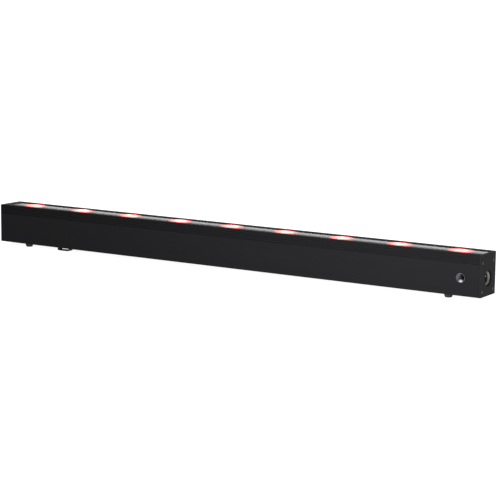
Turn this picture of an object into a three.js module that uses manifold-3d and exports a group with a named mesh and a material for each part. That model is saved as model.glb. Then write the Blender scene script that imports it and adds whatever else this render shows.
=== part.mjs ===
// LED strip batten: a one metre wash bar, nine lensed LEDs behind a clear cover in a finned
// aluminium extrusion, with end plates, sockets, a control panel and four rubber feet.
// Millimetres. +X runs along the bar to its data-in end, -Y is the front, +Z is up.
// The origin is on the floor, under the middle of the bar.
import * as THREE from 'three';
import { mergeVertices } from 'three/addons/utils/BufferGeometryUtils.js';
import Module from 'manifold-3d';

const wasm = await Module();
wasm.setup();

// ---- driving dimensions ----
const BAR_LENGTH = 1000;
const BAR_WIDTH = 56;
const BAR_HEIGHT = 70.5;
const FOOT_HEIGHT = 6;
const PLATE_THICKNESS = 3;
const GAP = 0.3; // clearance between neighbours that touch
const LED_COUNT = 9;
const LED_PITCH = BAR_LENGTH / LED_COUNT;

const HALF_WIDTH = BAR_WIDTH / 2;
const BASE_Z = FOOT_HEIGHT;
const TOP_Z = BASE_Z + BAR_HEIGHT;
const HOUSING_END = BAR_LENGTH / 2 - PLATE_THICKNESS - GAP;
const CORNER_RADIUS = 0.9;

// housing section
const WALL = 2.2;
const FIN_COUNT = 5;
const FIN_PITCH = 3.5;
const FIN_GROOVE_WIDTH = 1.75;
const FIN_GROOVE_DEPTH = 2;
const FIRST_GROOVE_DROP = 1.8;
const RAIL_HALF_GAP = 18;
const RAIL_THICKNESS = 5;
const CHANNEL_HALF_WIDTH = 23.5;
const SHELF_TOP_Z = TOP_Z - 21.9;
const SHELF_THICKNESS = 3;
const CHAMBER_TOP_Z = SHELF_TOP_Z - SHELF_THICKNESS;
const PORT_RADIUS = 3.2;
const PORT_BORE_RADIUS = 1.7;
const PORT_Y = 20.5;
const PORT_HEIGHTS = [8.4, 56];
const PORT_RIB_THICKNESS = 2.4;
const CABLE_HOLE_RADIUS = 5;
const CABLE_HOLE_X = 185;

// clear cover and the slots that hold it; its middle is raised between the rails
const COVER_RECESS = 1.2;
const COVER_THICKNESS = 2;
const COVER_HALF_WIDTH = 19.9;
const COVER_CROWN = 0.6;
const COVER_CROWN_HALF_WIDTH = 17.6;
const SLOT_DEPTH = 2.3;
const SLOT_CLEARANCE = 0.15;

// optics
const BOARD_THICKNESS = 1.6;
const BOARD_HALF_WIDTH = 16.8;
const BOARD_HALF_LENGTH = 493;
const EMITTER_SIZE = 8;
const LENS_RADIUS = 17.2;
const LENS_HEIGHT = 14.2;
const LENS_MOUTH_RADIUS = 7.4;
const LENS_RIM_HEIGHT = 2;
const MASK_THICKNESS = 1.2;
const MASK_HALF_WIDTH = 23.1;

// end plates, their screws and the data sockets behind them
const SCREW_HEAD_RADIUS = 2.9;
const SCREW_SHANK_RADIUS = 1.4;
const SCREW_LENGTH = 12;
const SCREW_SUNK = 0.15;
const SOCKET_Z = BASE_Z + 28.7;
const SOCKET_WINDOW_RADIUS = 13;
const FLANGE_FRONT = -PLATE_THICKNESS - GAP;
const FLANGE_THICKNESS = 2;
const FLANGE_WIDTH = 27;
const FLANGE_HEIGHT = 30.5;
const FLANGE_CORNER_RADIUS = 2.5;
const SHELL_RADIUS = 11.4;
const SHELL_DEPTH = 20;
const SHELL_LIP = 1.2; // how far the shell's round lip stands off its flange
const IN_CAVITY_RADIUS = 8.2;
const OUT_CAVITY_RADIUS = 9.7;
const CAVITY_DEPTH = 14.5;
const PIN_CIRCLE_RADIUS = 4.9;
const PIN_RADIUS = 1.2;
const PIN_TIP_DEPTH = 2.5;
const PIN_COUNT = 3;
const NOSE_RADIUS = 7.9;
const CONTACT_HOLE_RADIUS = 1.5;
const CONTACT_HOLE_DEPTH = 13;
const LATCH_WIDTH = 6;
const LATCH_LOW = 10.5;
const LATCH_HIGH = 15.5;
const LATCH_CLEARANCE = 0.4;
const LATCH_FRONT = FLANGE_FRONT + 1.9;
const LATCH_BACK = FLANGE_FRONT - FLANGE_THICKNESS - 4;
const LATCH_GUIDE_WIDTH = 8.4;
const LATCH_GUIDE_HEIGHT = 1.8;
const LATCH_GUIDE_BACK = -11;
const LATCH_WEB_WIDTH = 3;

// things under the bar
const FOOT_X = 439;
const FOOT_Y = 18;
const FOOT_RADIUS = 7.4;
const FOOT_BASE_RADIUS = 5.9;
const FOOT_COLLAR = 1.4;
const FOOT_EDGE = 0.6;
const FOOT_RECESS_RADIUS = 2.9;
const FOOT_RECESS_DEPTH = 2.6;
const BRACKET_X = 250;
const BRACKET_BARREL_RADIUS = 5;
const BRACKET_BORE_RADIUS = 3.4;
const BRACKET_FLANGE_RADIUS = 8;
const BRACKET_FLANGE_BOTTOM_Z = BASE_Z - 1;
const BRACKET_TOP_Z = BASE_Z + 12;
const LOOP_X = -354;
const LOOP_Y = -17;
const LOOP_WIDTH = 26.5;
const STRAP_WIDTH = 12;
const STRAP_THICKNESS = 1.3;
const STRAP_BOTTOM_Z = 0.4;
const STRAP_TAB = 9;
const LEG_CLEARANCE = 0.4;

// infra-red eye on the front; depths are from the housing's face
const EYE_X = 464.6;
const EYE_Z = BASE_Z + 30;
const EYE_BARREL_RADIUS = 6.6;
const EYE_RIM_RADIUS = 7.9;
const EYE_THROAT_RADIUS = 3;
const EYE_RIM_PROUD = 1.2;
const EYE_BOWL_FLOOR = -2.2;
const EYE_BACK = -7;
const RECEIVER_SIZE = [7, 8, 4.3];
const PROUD = 2.4; // how far the eye and the rear controls stand off the housing

// rear face
const REAR_CENTRE_Z = SOCKET_Z;
const INLET_X = 428;
const OUTLET_X = -428;
const PANEL_X = 290;
const PANEL_WIDTH = 104;
const PANEL_HEIGHT = 32;
const PANEL_PLATE = 1.2;
const PANEL_CORNER_RADIUS = 3;
const PLUG_BACK = -1.5;
const WINDOW_WIDTH = 96;
const WINDOW_HEIGHT = 24;
const BUTTON_COUNT = 4;
const BUTTON_PITCH = 13;
const BUTTON_RADIUS = 3.7;
const BUTTON_COLLAR = 0.9;
const BUTTON_FIRST_X = 4;
const SWITCH_SIZE = 6;
const BOARD_FRONT = -7;
const CONTROL_BOARD_SIZE = [92, 21];
const DISPLAY_X = -27;
const DISPLAY_WIDTH = 34;
const DISPLAY_HEIGHT = 14;

// mains inlet and link-out socket; depths are from the housing's face
const INLET_CUTOUT = [28.8, 32.8];
const OUTLET_CUTOUT = [28.8, 22.8];
const INLET_FLANGE = [33, 37];
const OUTLET_FLANGE = [33, 27];
const INLET_BACK = -23;
const OUTLET_BACK = -21;
const MAINS_FLANGE_PROUD = 2;
const SOCKET_WIDTH = 24.6;
const SOCKET_HEIGHT = 16.6;
const SOCKET_CHAMFER = 4;
const MAINS_SOCKET_DEPTH = 15;
const INLET_SOCKET_Y = 5.6;
const BLADE_SIZE = [2, 4];
const BLADE_LENGTH = 12;
const CORE_INSET = 2.1;
const CORE_DROP = 0.8;
const CONTACT_SLOT_SIZE = [2.6, 4.8];
const CONTACT_SLOT_DEPTH = 13;
const DRAWER_WIDTH = 22;
const DRAWER_HEIGHT = 8;
const DRAWER_DROP = -11.4;
const DRAWER_DEPTH = 20;
const LEDGE_WIDTH = 12;
const LEDGE_HEIGHT = 2;
const FUSE_RADIUS = 2.6;
const FUSE_LENGTH = 20;
const FUSE_DEPTH = 11.4; // from the drawer's front to the fuse's axis
const POCKET_LENGTH = 7.2;
const POCKET_BACK_WALL = 5;

// inside the bar
const SUPPLY_X = 40;
const SUPPLY_LENGTH = 200;
const SUPPLY_WIDTH = 30;
const SUPPLY_HEIGHT = 32;
const SUPPLY_TAB = 10;
const SUPPLY_TAB_WIDTH = 18;
const SUPPLY_TAB_THICKNESS = 1.5;
const LOOM_RADIUS = 2.4;
const LOOM_EXIT_HEIGHT = 20;

const ROUND = 16; // sides of a small round piece

// ---- finishes ----
function finish(color, roughness, metalness, opacity = 1) {
  const transparent = opacity < 1;
  return new THREE.MeshStandardMaterial({ color, roughness, metalness, opacity, transparent });
}
const anodised = finish('#26262a', 0.45, 0.6);
const plateBlack = finish('#1f1f21', 0.5, 0.4);
const blackPlastic = finish('#161617', 0.5, 0);
const rubber = finish('#101010', 0.85, 0);
const clearPlastic = finish('#dfe3e6', 0.05, 0, 0.35);
const litLens = finish('#ff6a5a', 0.1, 0, 0.8);
const nickel = finish('#a8a6a4', 0.3, 1);
const blackSteel = finish('#1a1a1b', 0.4, 0.8);
const boardWhite = finish('#e9e9e4', 0.5, 0);
const boardGreen = finish('#1d5a36', 0.5, 0);
const emitterYellow = finish('#e8d9a0', 0.4, 0);
const zincSteel = finish('#8f9196', 0.4, 0.9);
const smokedPlastic = finish('#2a0d0e', 0.1, 0);

// ---- solids ----
// A closed geometry as a manifold solid.
function solid(geometry) {
  const bare = geometry.index ? geometry.toNonIndexed() : geometry.clone();
  bare.deleteAttribute('normal');
  bare.deleteAttribute('uv');
  const merged = mergeVertices(bare, 1e-4);
  const vertProperties = new Float32Array(merged.attributes.position.array);
  const triVerts = new Uint32Array(merged.index.array);
  return new wasm.Manifold(new wasm.Mesh({ numProp: 3, vertProperties, triVerts }));
}

function geometryOf(manifold) {
  const mesh = manifold.getMesh();
  const positions = new Float32Array((mesh.vertProperties.length / mesh.numProp) * 3);
  for (let i = 0; i < positions.length / 3; i += 1) {
    for (let k = 0; k < 3; k += 1) {
      positions[i * 3 + k] = mesh.vertProperties[i * mesh.numProp + k];
    }
  }
  const geometry = new THREE.BufferGeometry();
  geometry.setAttribute('position', new THREE.BufferAttribute(positions, 3));
  geometry.setIndex(new THREE.BufferAttribute(new Uint32Array(mesh.triVerts), 1));
  geometry.computeVertexNormals();
  return geometry;
}

function join(...pieces) {
  return pieces.reduce((sum, piece) => sum.add(piece));
}

function cut(body, ...tools) {
  return tools.reduce((rest, tool) => rest.subtract(tool), body);
}

// A box given by its low and high corners.
function block(low, high) {
  const size = high.map((value, axis) => value - low[axis]);
  const centre = high.map((value, axis) => (value + low[axis]) / 2);
  return solid(new THREE.BoxGeometry(...size).translate(...centre));
}

// A box round a place on a face, from z0 to z1.
function post([width, height], [x, y], z0, z1) {
  return block([x - width / 2, y - height / 2, z0], [x + width / 2, y + height / 2, z1]);
}

// A round bar along Z, from z0 to z1.
function bar(radius, z0, z1, x = 0, y = 0, sides = ROUND) {
  const rod = new THREE.CylinderGeometry(radius, radius, z1 - z0, sides).rotateX(Math.PI / 2);
  return solid(rod.translate(x, y, (z0 + z1) / 2));
}

// A body of revolution about Z. The profile's points are [radius, height].
function turned(profile, sides = ROUND) {
  const points = profile.map(([radius, height]) => new THREE.Vector2(radius, height));
  return new THREE.LatheGeometry(points, sides).rotateX(Math.PI / 2);
}

// An outline with every corner rounded.
function roundedOutline(corners, radius, Kind = THREE.Shape) {
  const outline = new Kind();
  corners.forEach((corner, index) => {
    const here = new THREE.Vector2(...corner);
    const before = new THREE.Vector2(...corners.at(index - 1));
    const after = new THREE.Vector2(...corners[(index + 1) % corners.length]);
    const entry = here.clone().add(before.sub(here).setLength(radius));
    const exit = here.clone().add(after.sub(here).setLength(radius));
    if (index === 0) {
      outline.moveTo(entry.x, entry.y);
    } else {
      outline.lineTo(entry.x, entry.y);
    }
    outline.quadraticCurveTo(here.x, here.y, exit.x, exit.y);
  });
  outline.closePath();
  return outline;
}

function rectangle(width, height, x = 0, y = 0) {
  const [w, h] = [width / 2, height / 2];
  return [[x - w, y - h], [x + w, y - h], [x + w, y + h], [x - w, y + h]];
}

function slab(outline, z0, z1, curveSegments = 3) {
  const settings = { depth: z1 - z0, bevelEnabled: false, curveSegments };
  return new THREE.ExtrudeGeometry(outline, settings).translate(0, 0, z0);
}

// A section drawn in (Y, Z), run along X from x0 to x1.
function alongBar(outline, x0, x1) {
  const turn = new THREE.Matrix4().makeBasis(
    new THREE.Vector3(0, 1, 0),
    new THREE.Vector3(0, 0, 1),
    new THREE.Vector3(1, 0, 0),
  );
  return slab(outline, x0, x1).applyMatrix4(turn);
}

// ---- scene graph ----
const batten = new THREE.Group();

function addPiece(parent, name, shape, material) {
  const geometry = shape.isBufferGeometry ? geometryOf(solid(shape)) : geometryOf(shape);
  const mesh = new THREE.Mesh(geometry, material);
  mesh.name = name;
  parent.add(mesh);
  return mesh;
}

// A group whose local +Z points out of a face and whose local +Y points up the bar's side.
function facing(outward, position) {
  const out = new THREE.Vector3(...outward);
  const up = new THREE.Vector3(0, 0, 1);
  const right = new THREE.Vector3().crossVectors(up, out);
  const group = new THREE.Group();
  group.setRotationFromMatrix(new THREE.Matrix4().makeBasis(right, up, out));
  group.position.set(...position);
  batten.add(group);
  return group;
}

// ---- housing extrusion ----
function grooveCentres() {
  return Array.from({ length: FIN_COUNT }, (_, n) => TOP_Z - FIRST_GROOVE_DROP - n * FIN_PITCH);
}

function housingSection() {
  const coverTop = TOP_Z - COVER_RECESS;
  const slotTop = coverTop + SLOT_CLEARANCE;
  const slotBottom = coverTop - COVER_THICKNESS - SLOT_CLEARANCE;
  const side = [];
  for (const centre of grooveCentres().reverse()) {
    side.push([HALF_WIDTH, centre - FIN_GROOVE_WIDTH / 2]);
    side.push([HALF_WIDTH - FIN_GROOVE_DEPTH, centre - FIN_GROOVE_WIDTH / 2]);
    side.push([HALF_WIDTH - FIN_GROOVE_DEPTH, centre + FIN_GROOVE_WIDTH / 2]);
    side.push([HALF_WIDTH, centre + FIN_GROOVE_WIDTH / 2]);
  }
  const rear = [
    [HALF_WIDTH - CORNER_RADIUS, BASE_Z],
    [HALF_WIDTH, BASE_Z + CORNER_RADIUS],
    ...side,
    [HALF_WIDTH, TOP_Z - CORNER_RADIUS / 3],
    [HALF_WIDTH - CORNER_RADIUS / 3, TOP_Z],
    [RAIL_HALF_GAP, TOP_Z],
    [RAIL_HALF_GAP, slotTop],
    [RAIL_HALF_GAP + SLOT_DEPTH, slotTop],
    [RAIL_HALF_GAP + SLOT_DEPTH, slotBottom],
    [RAIL_HALF_GAP, slotBottom],
    [RAIL_HALF_GAP, TOP_Z - RAIL_THICKNESS],
    [CHANNEL_HALF_WIDTH, TOP_Z - RAIL_THICKNESS],
    [CHANNEL_HALF_WIDTH, SHELF_TOP_Z],
  ];
  const front = rear.map(([y, z]) => [-y, z]).reverse();
  const outline = new THREE.Shape([...rear, ...front].map(([y, z]) => new THREE.Vector2(y, z)));
  const chamberHeight = CHAMBER_TOP_Z - BASE_Z - WALL;
  const chamberCentre = BASE_Z + WALL + chamberHeight / 2;
  const chamber = rectangle(BAR_WIDTH - 2 * WALL, chamberHeight, 0, chamberCentre);
  outline.holes.push(roundedOutline(chamber, CORNER_RADIUS, THREE.Path));
  return outline;
}

function portPlaces() {
  const places = [];
  for (const side of [-1, 1]) {
    for (const height of PORT_HEIGHTS) {
      places.push([side * PORT_Y, BASE_Z + height, side]);
    }
  }
  return places;
}

function roundAlongBar(radius, y, z, x0, x1, sides) {
  const rod = new THREE.CylinderGeometry(radius, radius, x1 - x0, sides).rotateZ(Math.PI / 2);
  return solid(rod.translate((x0 + x1) / 2, y, z));
}

function rearWindow(x, width, height) {
  const low = [x - width / 2, HALF_WIDTH - WALL - 1, REAR_CENTRE_Z - height / 2];
  return block(low, [x + width / 2, HALF_WIDTH + 1, REAR_CENTRE_Z + height / 2]);
}

function loopSlots() {
  const half = LOOP_WIDTH / 2;
  return [-1, 1].map((side) => {
    const outer = LOOP_X + side * (half + LEG_CLEARANCE);
    const inner = LOOP_X + side * (half - STRAP_THICKNESS - LEG_CLEARANCE);
    const reach = STRAP_WIDTH / 2 + LEG_CLEARANCE;
    return block(
      [Math.min(outer, inner), LOOP_Y - reach, BASE_Z - 1],
      [Math.max(outer, inner), LOOP_Y + reach, BASE_Z + WALL + 1],
    );
  });
}

function housing() {
  let body = solid(alongBar(housingSection(), -HOUSING_END, HOUSING_END));
  for (const [y, z, side] of portPlaces()) {
    const tube = roundAlongBar(PORT_RADIUS, y, z, -HOUSING_END, HOUSING_END, ROUND);
    const wallFace = side * ((z > CHAMBER_TOP_Z ? CHANNEL_HALF_WIDTH : HALF_WIDTH - WALL) + 0.5);
    const low = [-HOUSING_END, Math.min(y, wallFace), z - PORT_RIB_THICKNESS / 2];
    const high = [HOUSING_END, Math.max(y, wallFace), z + PORT_RIB_THICKNESS / 2];
    body = join(body, tube, block(low, high));
  }
  const bores = portPlaces().map(([y, z]) => {
    return roundAlongBar(PORT_BORE_RADIUS, y, z, -HOUSING_END - 1, HOUSING_END + 1, 12);
  });
  const eyeHole = bar(EYE_BARREL_RADIUS + GAP, -WALL - 1, WALL + 1)
    .rotate([90, 0, 0])
    .translate([EYE_X, -HALF_WIDTH, EYE_Z]);
  const bracketHoles = [-1, 1].map((side) => {
    return bar(BRACKET_BARREL_RADIUS + GAP, BASE_Z - 1, BASE_Z + WALL + 1, side * BRACKET_X);
  });
  const cableHole = bar(CABLE_HOLE_RADIUS, CHAMBER_TOP_Z - 1, SHELF_TOP_Z + 1, CABLE_HOLE_X);
  return cut(
    body,
    ...bores,
    eyeHole,
    ...bracketHoles,
    cableHole,
    ...loopSlots(),
    rearWindow(INLET_X, ...INLET_CUTOUT),
    rearWindow(OUTLET_X, ...OUTLET_CUTOUT),
    rearWindow(PANEL_X, WINDOW_WIDTH, WINDOW_HEIGHT),
  );
}

addPiece(batten, 'housing_extrusion', housing(), anodised);

// ---- end plates, screws and data sockets: local +Z points out of the end ----
const PLATE_CENTRE_Z = BASE_Z + BAR_HEIGHT / 2;
const SOCKET_DROP = SOCKET_Z - PLATE_CENTRE_Z;
const SHELL_BACK = FLANGE_FRONT - SHELL_DEPTH;
const SHELL_SIDES = 24;

function screwPlaces() {
  return portPlaces().map(([y, z]) => [y, z - PLATE_CENTRE_Z]);
}

function endPlate(latchNotch) {
  const outline = roundedOutline(rectangle(BAR_WIDTH, BAR_HEIGHT), CORNER_RADIUS);
  let plate = solid(slab(outline, -PLATE_THICKNESS, 0));
  plate = cut(plate, bar(SOCKET_WINDOW_RADIUS, -PLATE_THICKNESS - 1, 1, 0, SOCKET_DROP, 32));
  for (const [x, y] of screwPlaces()) {
    const sink = turned([
      [0, -PLATE_THICKNESS - 1],
      [SCREW_SHANK_RADIUS + GAP, -PLATE_THICKNESS - 1],
      [SCREW_SHANK_RADIUS + GAP, -SCREW_HEAD_RADIUS + SCREW_SHANK_RADIUS],
      [SCREW_HEAD_RADIUS + GAP, 0],
      [SCREW_HEAD_RADIUS + GAP, 1],
      [0, 1],
    ], 12);
    plate = cut(plate, solid(sink.translate(x, y, 0)));
  }
  if (latchNotch) {
    const reach = LATCH_WIDTH / 2 + 1;
    const low = [-reach, SOCKET_DROP + LATCH_LOW - 1, -PLATE_THICKNESS - 1];
    const high = [reach, SOCKET_DROP + LATCH_HIGH + 1, 1];
    plate = cut(plate, block(low, high));
  }
  return plate;
}

function endScrew() {
  const headDepth = SCREW_HEAD_RADIUS - SCREW_SHANK_RADIUS;
  return turned([
    [0, -SCREW_LENGTH],
    [SCREW_SHANK_RADIUS - 0.3, -SCREW_LENGTH],
    [SCREW_SHANK_RADIUS, -SCREW_LENGTH + 0.6],
    [SCREW_SHANK_RADIUS, -headDepth],
    [SCREW_HEAD_RADIUS - SCREW_SUNK, -SCREW_SUNK],
    [0, -SCREW_SUNK],
  ], 12);
}

// The metal shell of a data socket: a flange behind the plate, and a barrel whose round cavity
// opens out in a wide chamfer at its lip.
function socketShell(cavityRadius) {
  const flange = roundedOutline(rectangle(FLANGE_WIDTH, FLANGE_HEIGHT), FLANGE_CORNER_RADIUS);
  const plate = solid(slab(flange, FLANGE_FRONT - FLANGE_THICKNESS, FLANGE_FRONT));
  const lip = FLANGE_FRONT + SHELL_LIP;
  const barrel = bar(SHELL_RADIUS, SHELL_BACK, lip, 0, 0, SHELL_SIDES);
  const mouth = SHELL_RADIUS - 0.5;
  const cavity = turned([
    [0, SHELL_BACK - 1],
    [cavityRadius, SHELL_BACK - 1],
    [cavityRadius, lip - (mouth - cavityRadius)],
    [mouth, lip],
    [mouth, lip + 1],
    [0, lip + 1],
  ], SHELL_SIDES);
  return cut(join(plate, barrel), solid(cavity));
}

function contactPlaces() {
  return Array.from({ length: PIN_COUNT }, (_, n) => {
    const angle = -Math.PI / 2 + (n * 2 * Math.PI) / PIN_COUNT;
    return [PIN_CIRCLE_RADIUS * Math.cos(angle), PIN_CIRCLE_RADIUS * Math.sin(angle)];
  });
}

function pinInsert() {
  const front = FLANGE_FRONT - CAVITY_DEPTH;
  const tip = FLANGE_FRONT - PIN_TIP_DEPTH;
  const disc = bar(IN_CAVITY_RADIUS - GAP, SHELL_BACK + GAP, front, 0, 0, SHELL_SIDES);
  const pin = turned([
    [0, front - 1],
    [PIN_RADIUS, front - 1],
    [PIN_RADIUS, tip - PIN_RADIUS * 0.75],
    [PIN_RADIUS / 2, tip - PIN_RADIUS * 0.1],
    [0, tip],
  ], 8);
  const pins = contactPlaces().map(([x, y]) => solid(pin.clone().translate(x, y, 0)));
  return join(disc, ...pins);
}

function socketInsert() {
  const back = SHELL_BACK + GAP;
  const collar = bar(OUT_CAVITY_RADIUS - GAP, back, back + 3, 0, 0, SHELL_SIDES);
  const nose = bar(NOSE_RADIUS, back + 1, FLANGE_FRONT - 2 * GAP, 0, 0, SHELL_SIDES);
  const holes = contactPlaces().map(([x, y]) => {
    return bar(CONTACT_HOLE_RADIUS, FLANGE_FRONT - CONTACT_HOLE_DEPTH, FLANGE_FRONT + 1, x, y, 8);
  });
  return cut(join(collar, nose), ...holes);
}

// Push tab that releases the plug: its pad shows above the socket, its guide runs behind the flange.
function pushLatch() {
  const padHeight = LATCH_HIGH - LATCH_LOW;
  const pad = roundedOutline(rectangle(LATCH_WIDTH, padHeight, 0, LATCH_LOW + padHeight / 2), 0.8);
  const head = solid(slab(pad, LATCH_BACK, LATCH_FRONT));
  const guideBottom = LATCH_HIGH - LATCH_GUIDE_HEIGHT;
  const guide = block(
    [-LATCH_GUIDE_WIDTH / 2, guideBottom, LATCH_GUIDE_BACK],
    [LATCH_GUIDE_WIDTH / 2, LATCH_HIGH, LATCH_GUIDE_BACK + LATCH_GUIDE_HEIGHT],
  );
  const web = block(
    [-LATCH_WEB_WIDTH / 2, guideBottom - 1, LATCH_GUIDE_BACK + 1],
    [LATCH_WEB_WIDTH / 2, LATCH_HIGH, LATCH_BACK + 1],
  );
  return join(head, web, guide);
}

function latchSlot() {
  const reach = LATCH_WIDTH / 2 + LATCH_CLEARANCE;
  const low = [-reach, LATCH_LOW - LATCH_CLEARANCE, SHELL_BACK - 1];
  return block(low, [reach, FLANGE_HEIGHT, FLANGE_FRONT + SHELL_LIP + 1]);
}

const ends = [
  { name: 'right', side: 1, latch: false },
  { name: 'left', side: -1, latch: true },
];
for (const end of ends) {
  const face = facing([end.side, 0, 0], [(end.side * BAR_LENGTH) / 2, 0, PLATE_CENTRE_Z]);
  addPiece(face, `end_plate_${end.name}`, endPlate(end.latch), plateBlack);
  screwPlaces().forEach(([x, y], index) => {
    const screw = addPiece(face, `end_screw_${end.name}_${index + 1}`, endScrew(), blackSteel);
    screw.position.set(x, y, 0);
  });
  const socket = new THREE.Group();
  socket.position.set(0, SOCKET_DROP, 0);
  face.add(socket);
  if (end.latch) {
    addPiece(socket, 'data_out_shell', cut(socketShell(OUT_CAVITY_RADIUS), latchSlot()), nickel);
    addPiece(socket, 'data_out_insert', socketInsert(), blackPlastic);
    addPiece(socket, 'data_out_latch', pushLatch(), nickel);
  } else {
    addPiece(socket, 'data_in_shell', socketShell(IN_CAVITY_RADIUS), nickel);
    addPiece(socket, 'data_in_insert', pinInsert(), blackPlastic);
  }
}

// ---- LED board, emitters, lenses, mask and cover ----
const BOARD_BOTTOM_Z = SHELF_TOP_Z + GAP;
const BOARD_TOP_Z = BOARD_BOTTOM_Z + BOARD_THICKNESS;
const LENS_BOTTOM_Z = BOARD_TOP_Z + GAP;
const MASK_BOTTOM_Z = BASE_Z + PORT_HEIGHTS[1] + PORT_RADIUS + GAP;

// A moulded collimator: a pocket for the emitter's dome, a flared wall and a flat rimmed top.
function lens() {
  const profile = [[0, 4.6], [2.8, 4.3], [5.2, 3.3], [6, 0], [LENS_MOUTH_RADIUS, 0]];
  const rimBottom = LENS_HEIGHT - LENS_RIM_HEIGHT;
  const steps = 3;
  for (let n = 1; n <= steps; n += 1) {
    const share = n / steps;
    const flare = Math.sin((share * Math.PI) / 2);
    const radius = LENS_MOUTH_RADIUS + (LENS_RADIUS - 1.6 - LENS_MOUTH_RADIUS) * flare;
    profile.push([radius, share * rimBottom]);
  }
  profile.push([LENS_RADIUS, rimBottom], [LENS_RADIUS, LENS_HEIGHT], [0, LENS_HEIGHT]);
  return turned(profile, 24);
}

// Flat package with a low clear dome.
function emitter() {
  const half = EMITTER_SIZE / 2;
  const base = block([-half, -half, 0], [half, half, 0.8]);
  const dome = solid(turned([[0, 0.4], [3.2, 0.4], [3.2, 0.9], [2.3, 2.1], [0, 2.7]], 10));
  return join(base, dome);
}

function maskStrip() {
  let strip = post([2 * BOARD_HALF_LENGTH, 2 * MASK_HALF_WIDTH], [0, 0], 0, MASK_THICKNESS);
  for (let n = 0; n < LED_COUNT; n += 1) {
    strip = cut(strip, bar(LENS_RADIUS - GAP, -1, MASK_THICKNESS + 1, ledX(n), 0, 24));
  }
  return strip;
}

function ledX(n) {
  return (n - (LED_COUNT - 1) / 2) * LED_PITCH;
}

const ledBoard = cut(
  post([2 * BOARD_HALF_LENGTH, 2 * BOARD_HALF_WIDTH], [0, 0], 0, BOARD_THICKNESS),
  bar(CABLE_HOLE_RADIUS, -1, BOARD_THICKNESS + 1, CABLE_HOLE_X),
);
addPiece(batten, 'led_board', ledBoard, boardWhite).position.z = BOARD_BOTTOM_Z;
for (let n = 0; n < LED_COUNT; n += 1) {
  const led = addPiece(batten, `led_emitter_${n + 1}`, emitter(), emitterYellow);
  led.position.set(ledX(n), 0, LENS_BOTTOM_Z);
  addPiece(batten, `lens_${n + 1}`, lens(), litLens).position.set(ledX(n), 0, LENS_BOTTOM_Z);
}
addPiece(batten, 'lens_mask', maskStrip(), blackPlastic).position.z = MASK_BOTTOM_Z;

function coverSection() {
  const shoulder = TOP_Z - COVER_RECESS;
  const half = [
    [COVER_HALF_WIDTH, shoulder - COVER_THICKNESS],
    [COVER_HALF_WIDTH, shoulder],
    [COVER_CROWN_HALF_WIDTH, shoulder],
    [COVER_CROWN_HALF_WIDTH, shoulder + COVER_CROWN],
  ];
  const mirrored = half.map(([y, z]) => [-y, z]).reverse();
  return new THREE.Shape([...half, ...mirrored].map(([y, z]) => new THREE.Vector2(y, z)));
}

const cover = alongBar(coverSection(), -HOUSING_END, HOUSING_END);
addPiece(batten, 'cover_strip', cover, clearPlastic);

// ---- feet, safety loop and bracket inserts ----
const footProfile = [
  [0, FOOT_RECESS_DEPTH],
  [FOOT_RECESS_RADIUS, FOOT_RECESS_DEPTH],
  [FOOT_RECESS_RADIUS, 0.3],
  [FOOT_RECESS_RADIUS + 0.3, 0],
  [FOOT_BASE_RADIUS - FOOT_EDGE, 0],
  [FOOT_BASE_RADIUS, FOOT_EDGE],
  [FOOT_RADIUS, FOOT_HEIGHT - FOOT_COLLAR],
  [FOOT_RADIUS, FOOT_HEIGHT - GAP],
  [0, FOOT_HEIGHT - GAP],
];
const footNames = ['front_left', 'rear_left', 'front_right', 'rear_right'];
footNames.forEach((name, index) => {
  const foot = addPiece(batten, `foot_${name}`, turned(footProfile), rubber);
  foot.position.set(index < 2 ? -FOOT_X : FOOT_X, index % 2 ? FOOT_Y : -FOOT_Y, 0);
});

// A strap bent like a staple: legs up through the floor, feet turned out inside.
function safetyLoop() {
  const half = LOOP_WIDTH / 2;
  const low = STRAP_BOTTOM_Z;
  const floor = BASE_Z + WALL + GAP;
  const tab = STRAP_TAB;
  const corners = [
    [-half, low],
    [half, low],
    [half, floor],
    [half + tab, floor],
    [half + tab, floor + STRAP_THICKNESS],
    [half - STRAP_THICKNESS, floor + STRAP_THICKNESS],
    [half - STRAP_THICKNESS, low + STRAP_THICKNESS],
    [-half + STRAP_THICKNESS, low + STRAP_THICKNESS],
    [-half + STRAP_THICKNESS, floor + STRAP_THICKNESS],
    [-half - tab, floor + STRAP_THICKNESS],
    [-half - tab, floor],
    [-half, floor],
  ];
  const outline = new THREE.Shape(corners.map(([x, z]) => new THREE.Vector2(x, z)));
  return slab(outline, -STRAP_WIDTH / 2, STRAP_WIDTH / 2).rotateX(Math.PI / 2);
}

addPiece(batten, 'safety_loop', safetyLoop(), blackSteel).position.set(LOOP_X, LOOP_Y, 0);

const insertProfile = [
  [BRACKET_BORE_RADIUS, BRACKET_FLANGE_BOTTOM_Z],
  [BRACKET_FLANGE_RADIUS, BRACKET_FLANGE_BOTTOM_Z],
  [BRACKET_FLANGE_RADIUS, BASE_Z - GAP],
  [BRACKET_BARREL_RADIUS, BASE_Z - GAP],
  [BRACKET_BARREL_RADIUS, BRACKET_TOP_Z],
  [BRACKET_BORE_RADIUS, BRACKET_TOP_Z],
  [BRACKET_BORE_RADIUS, BRACKET_FLANGE_BOTTOM_Z],
];
for (const [name, side] of [['left', -1], ['right', 1]]) {
  const insert = addPiece(batten, `bracket_insert_${name}`, turned(insertProfile), zincSteel);
  insert.position.x = side * BRACKET_X;
}

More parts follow.
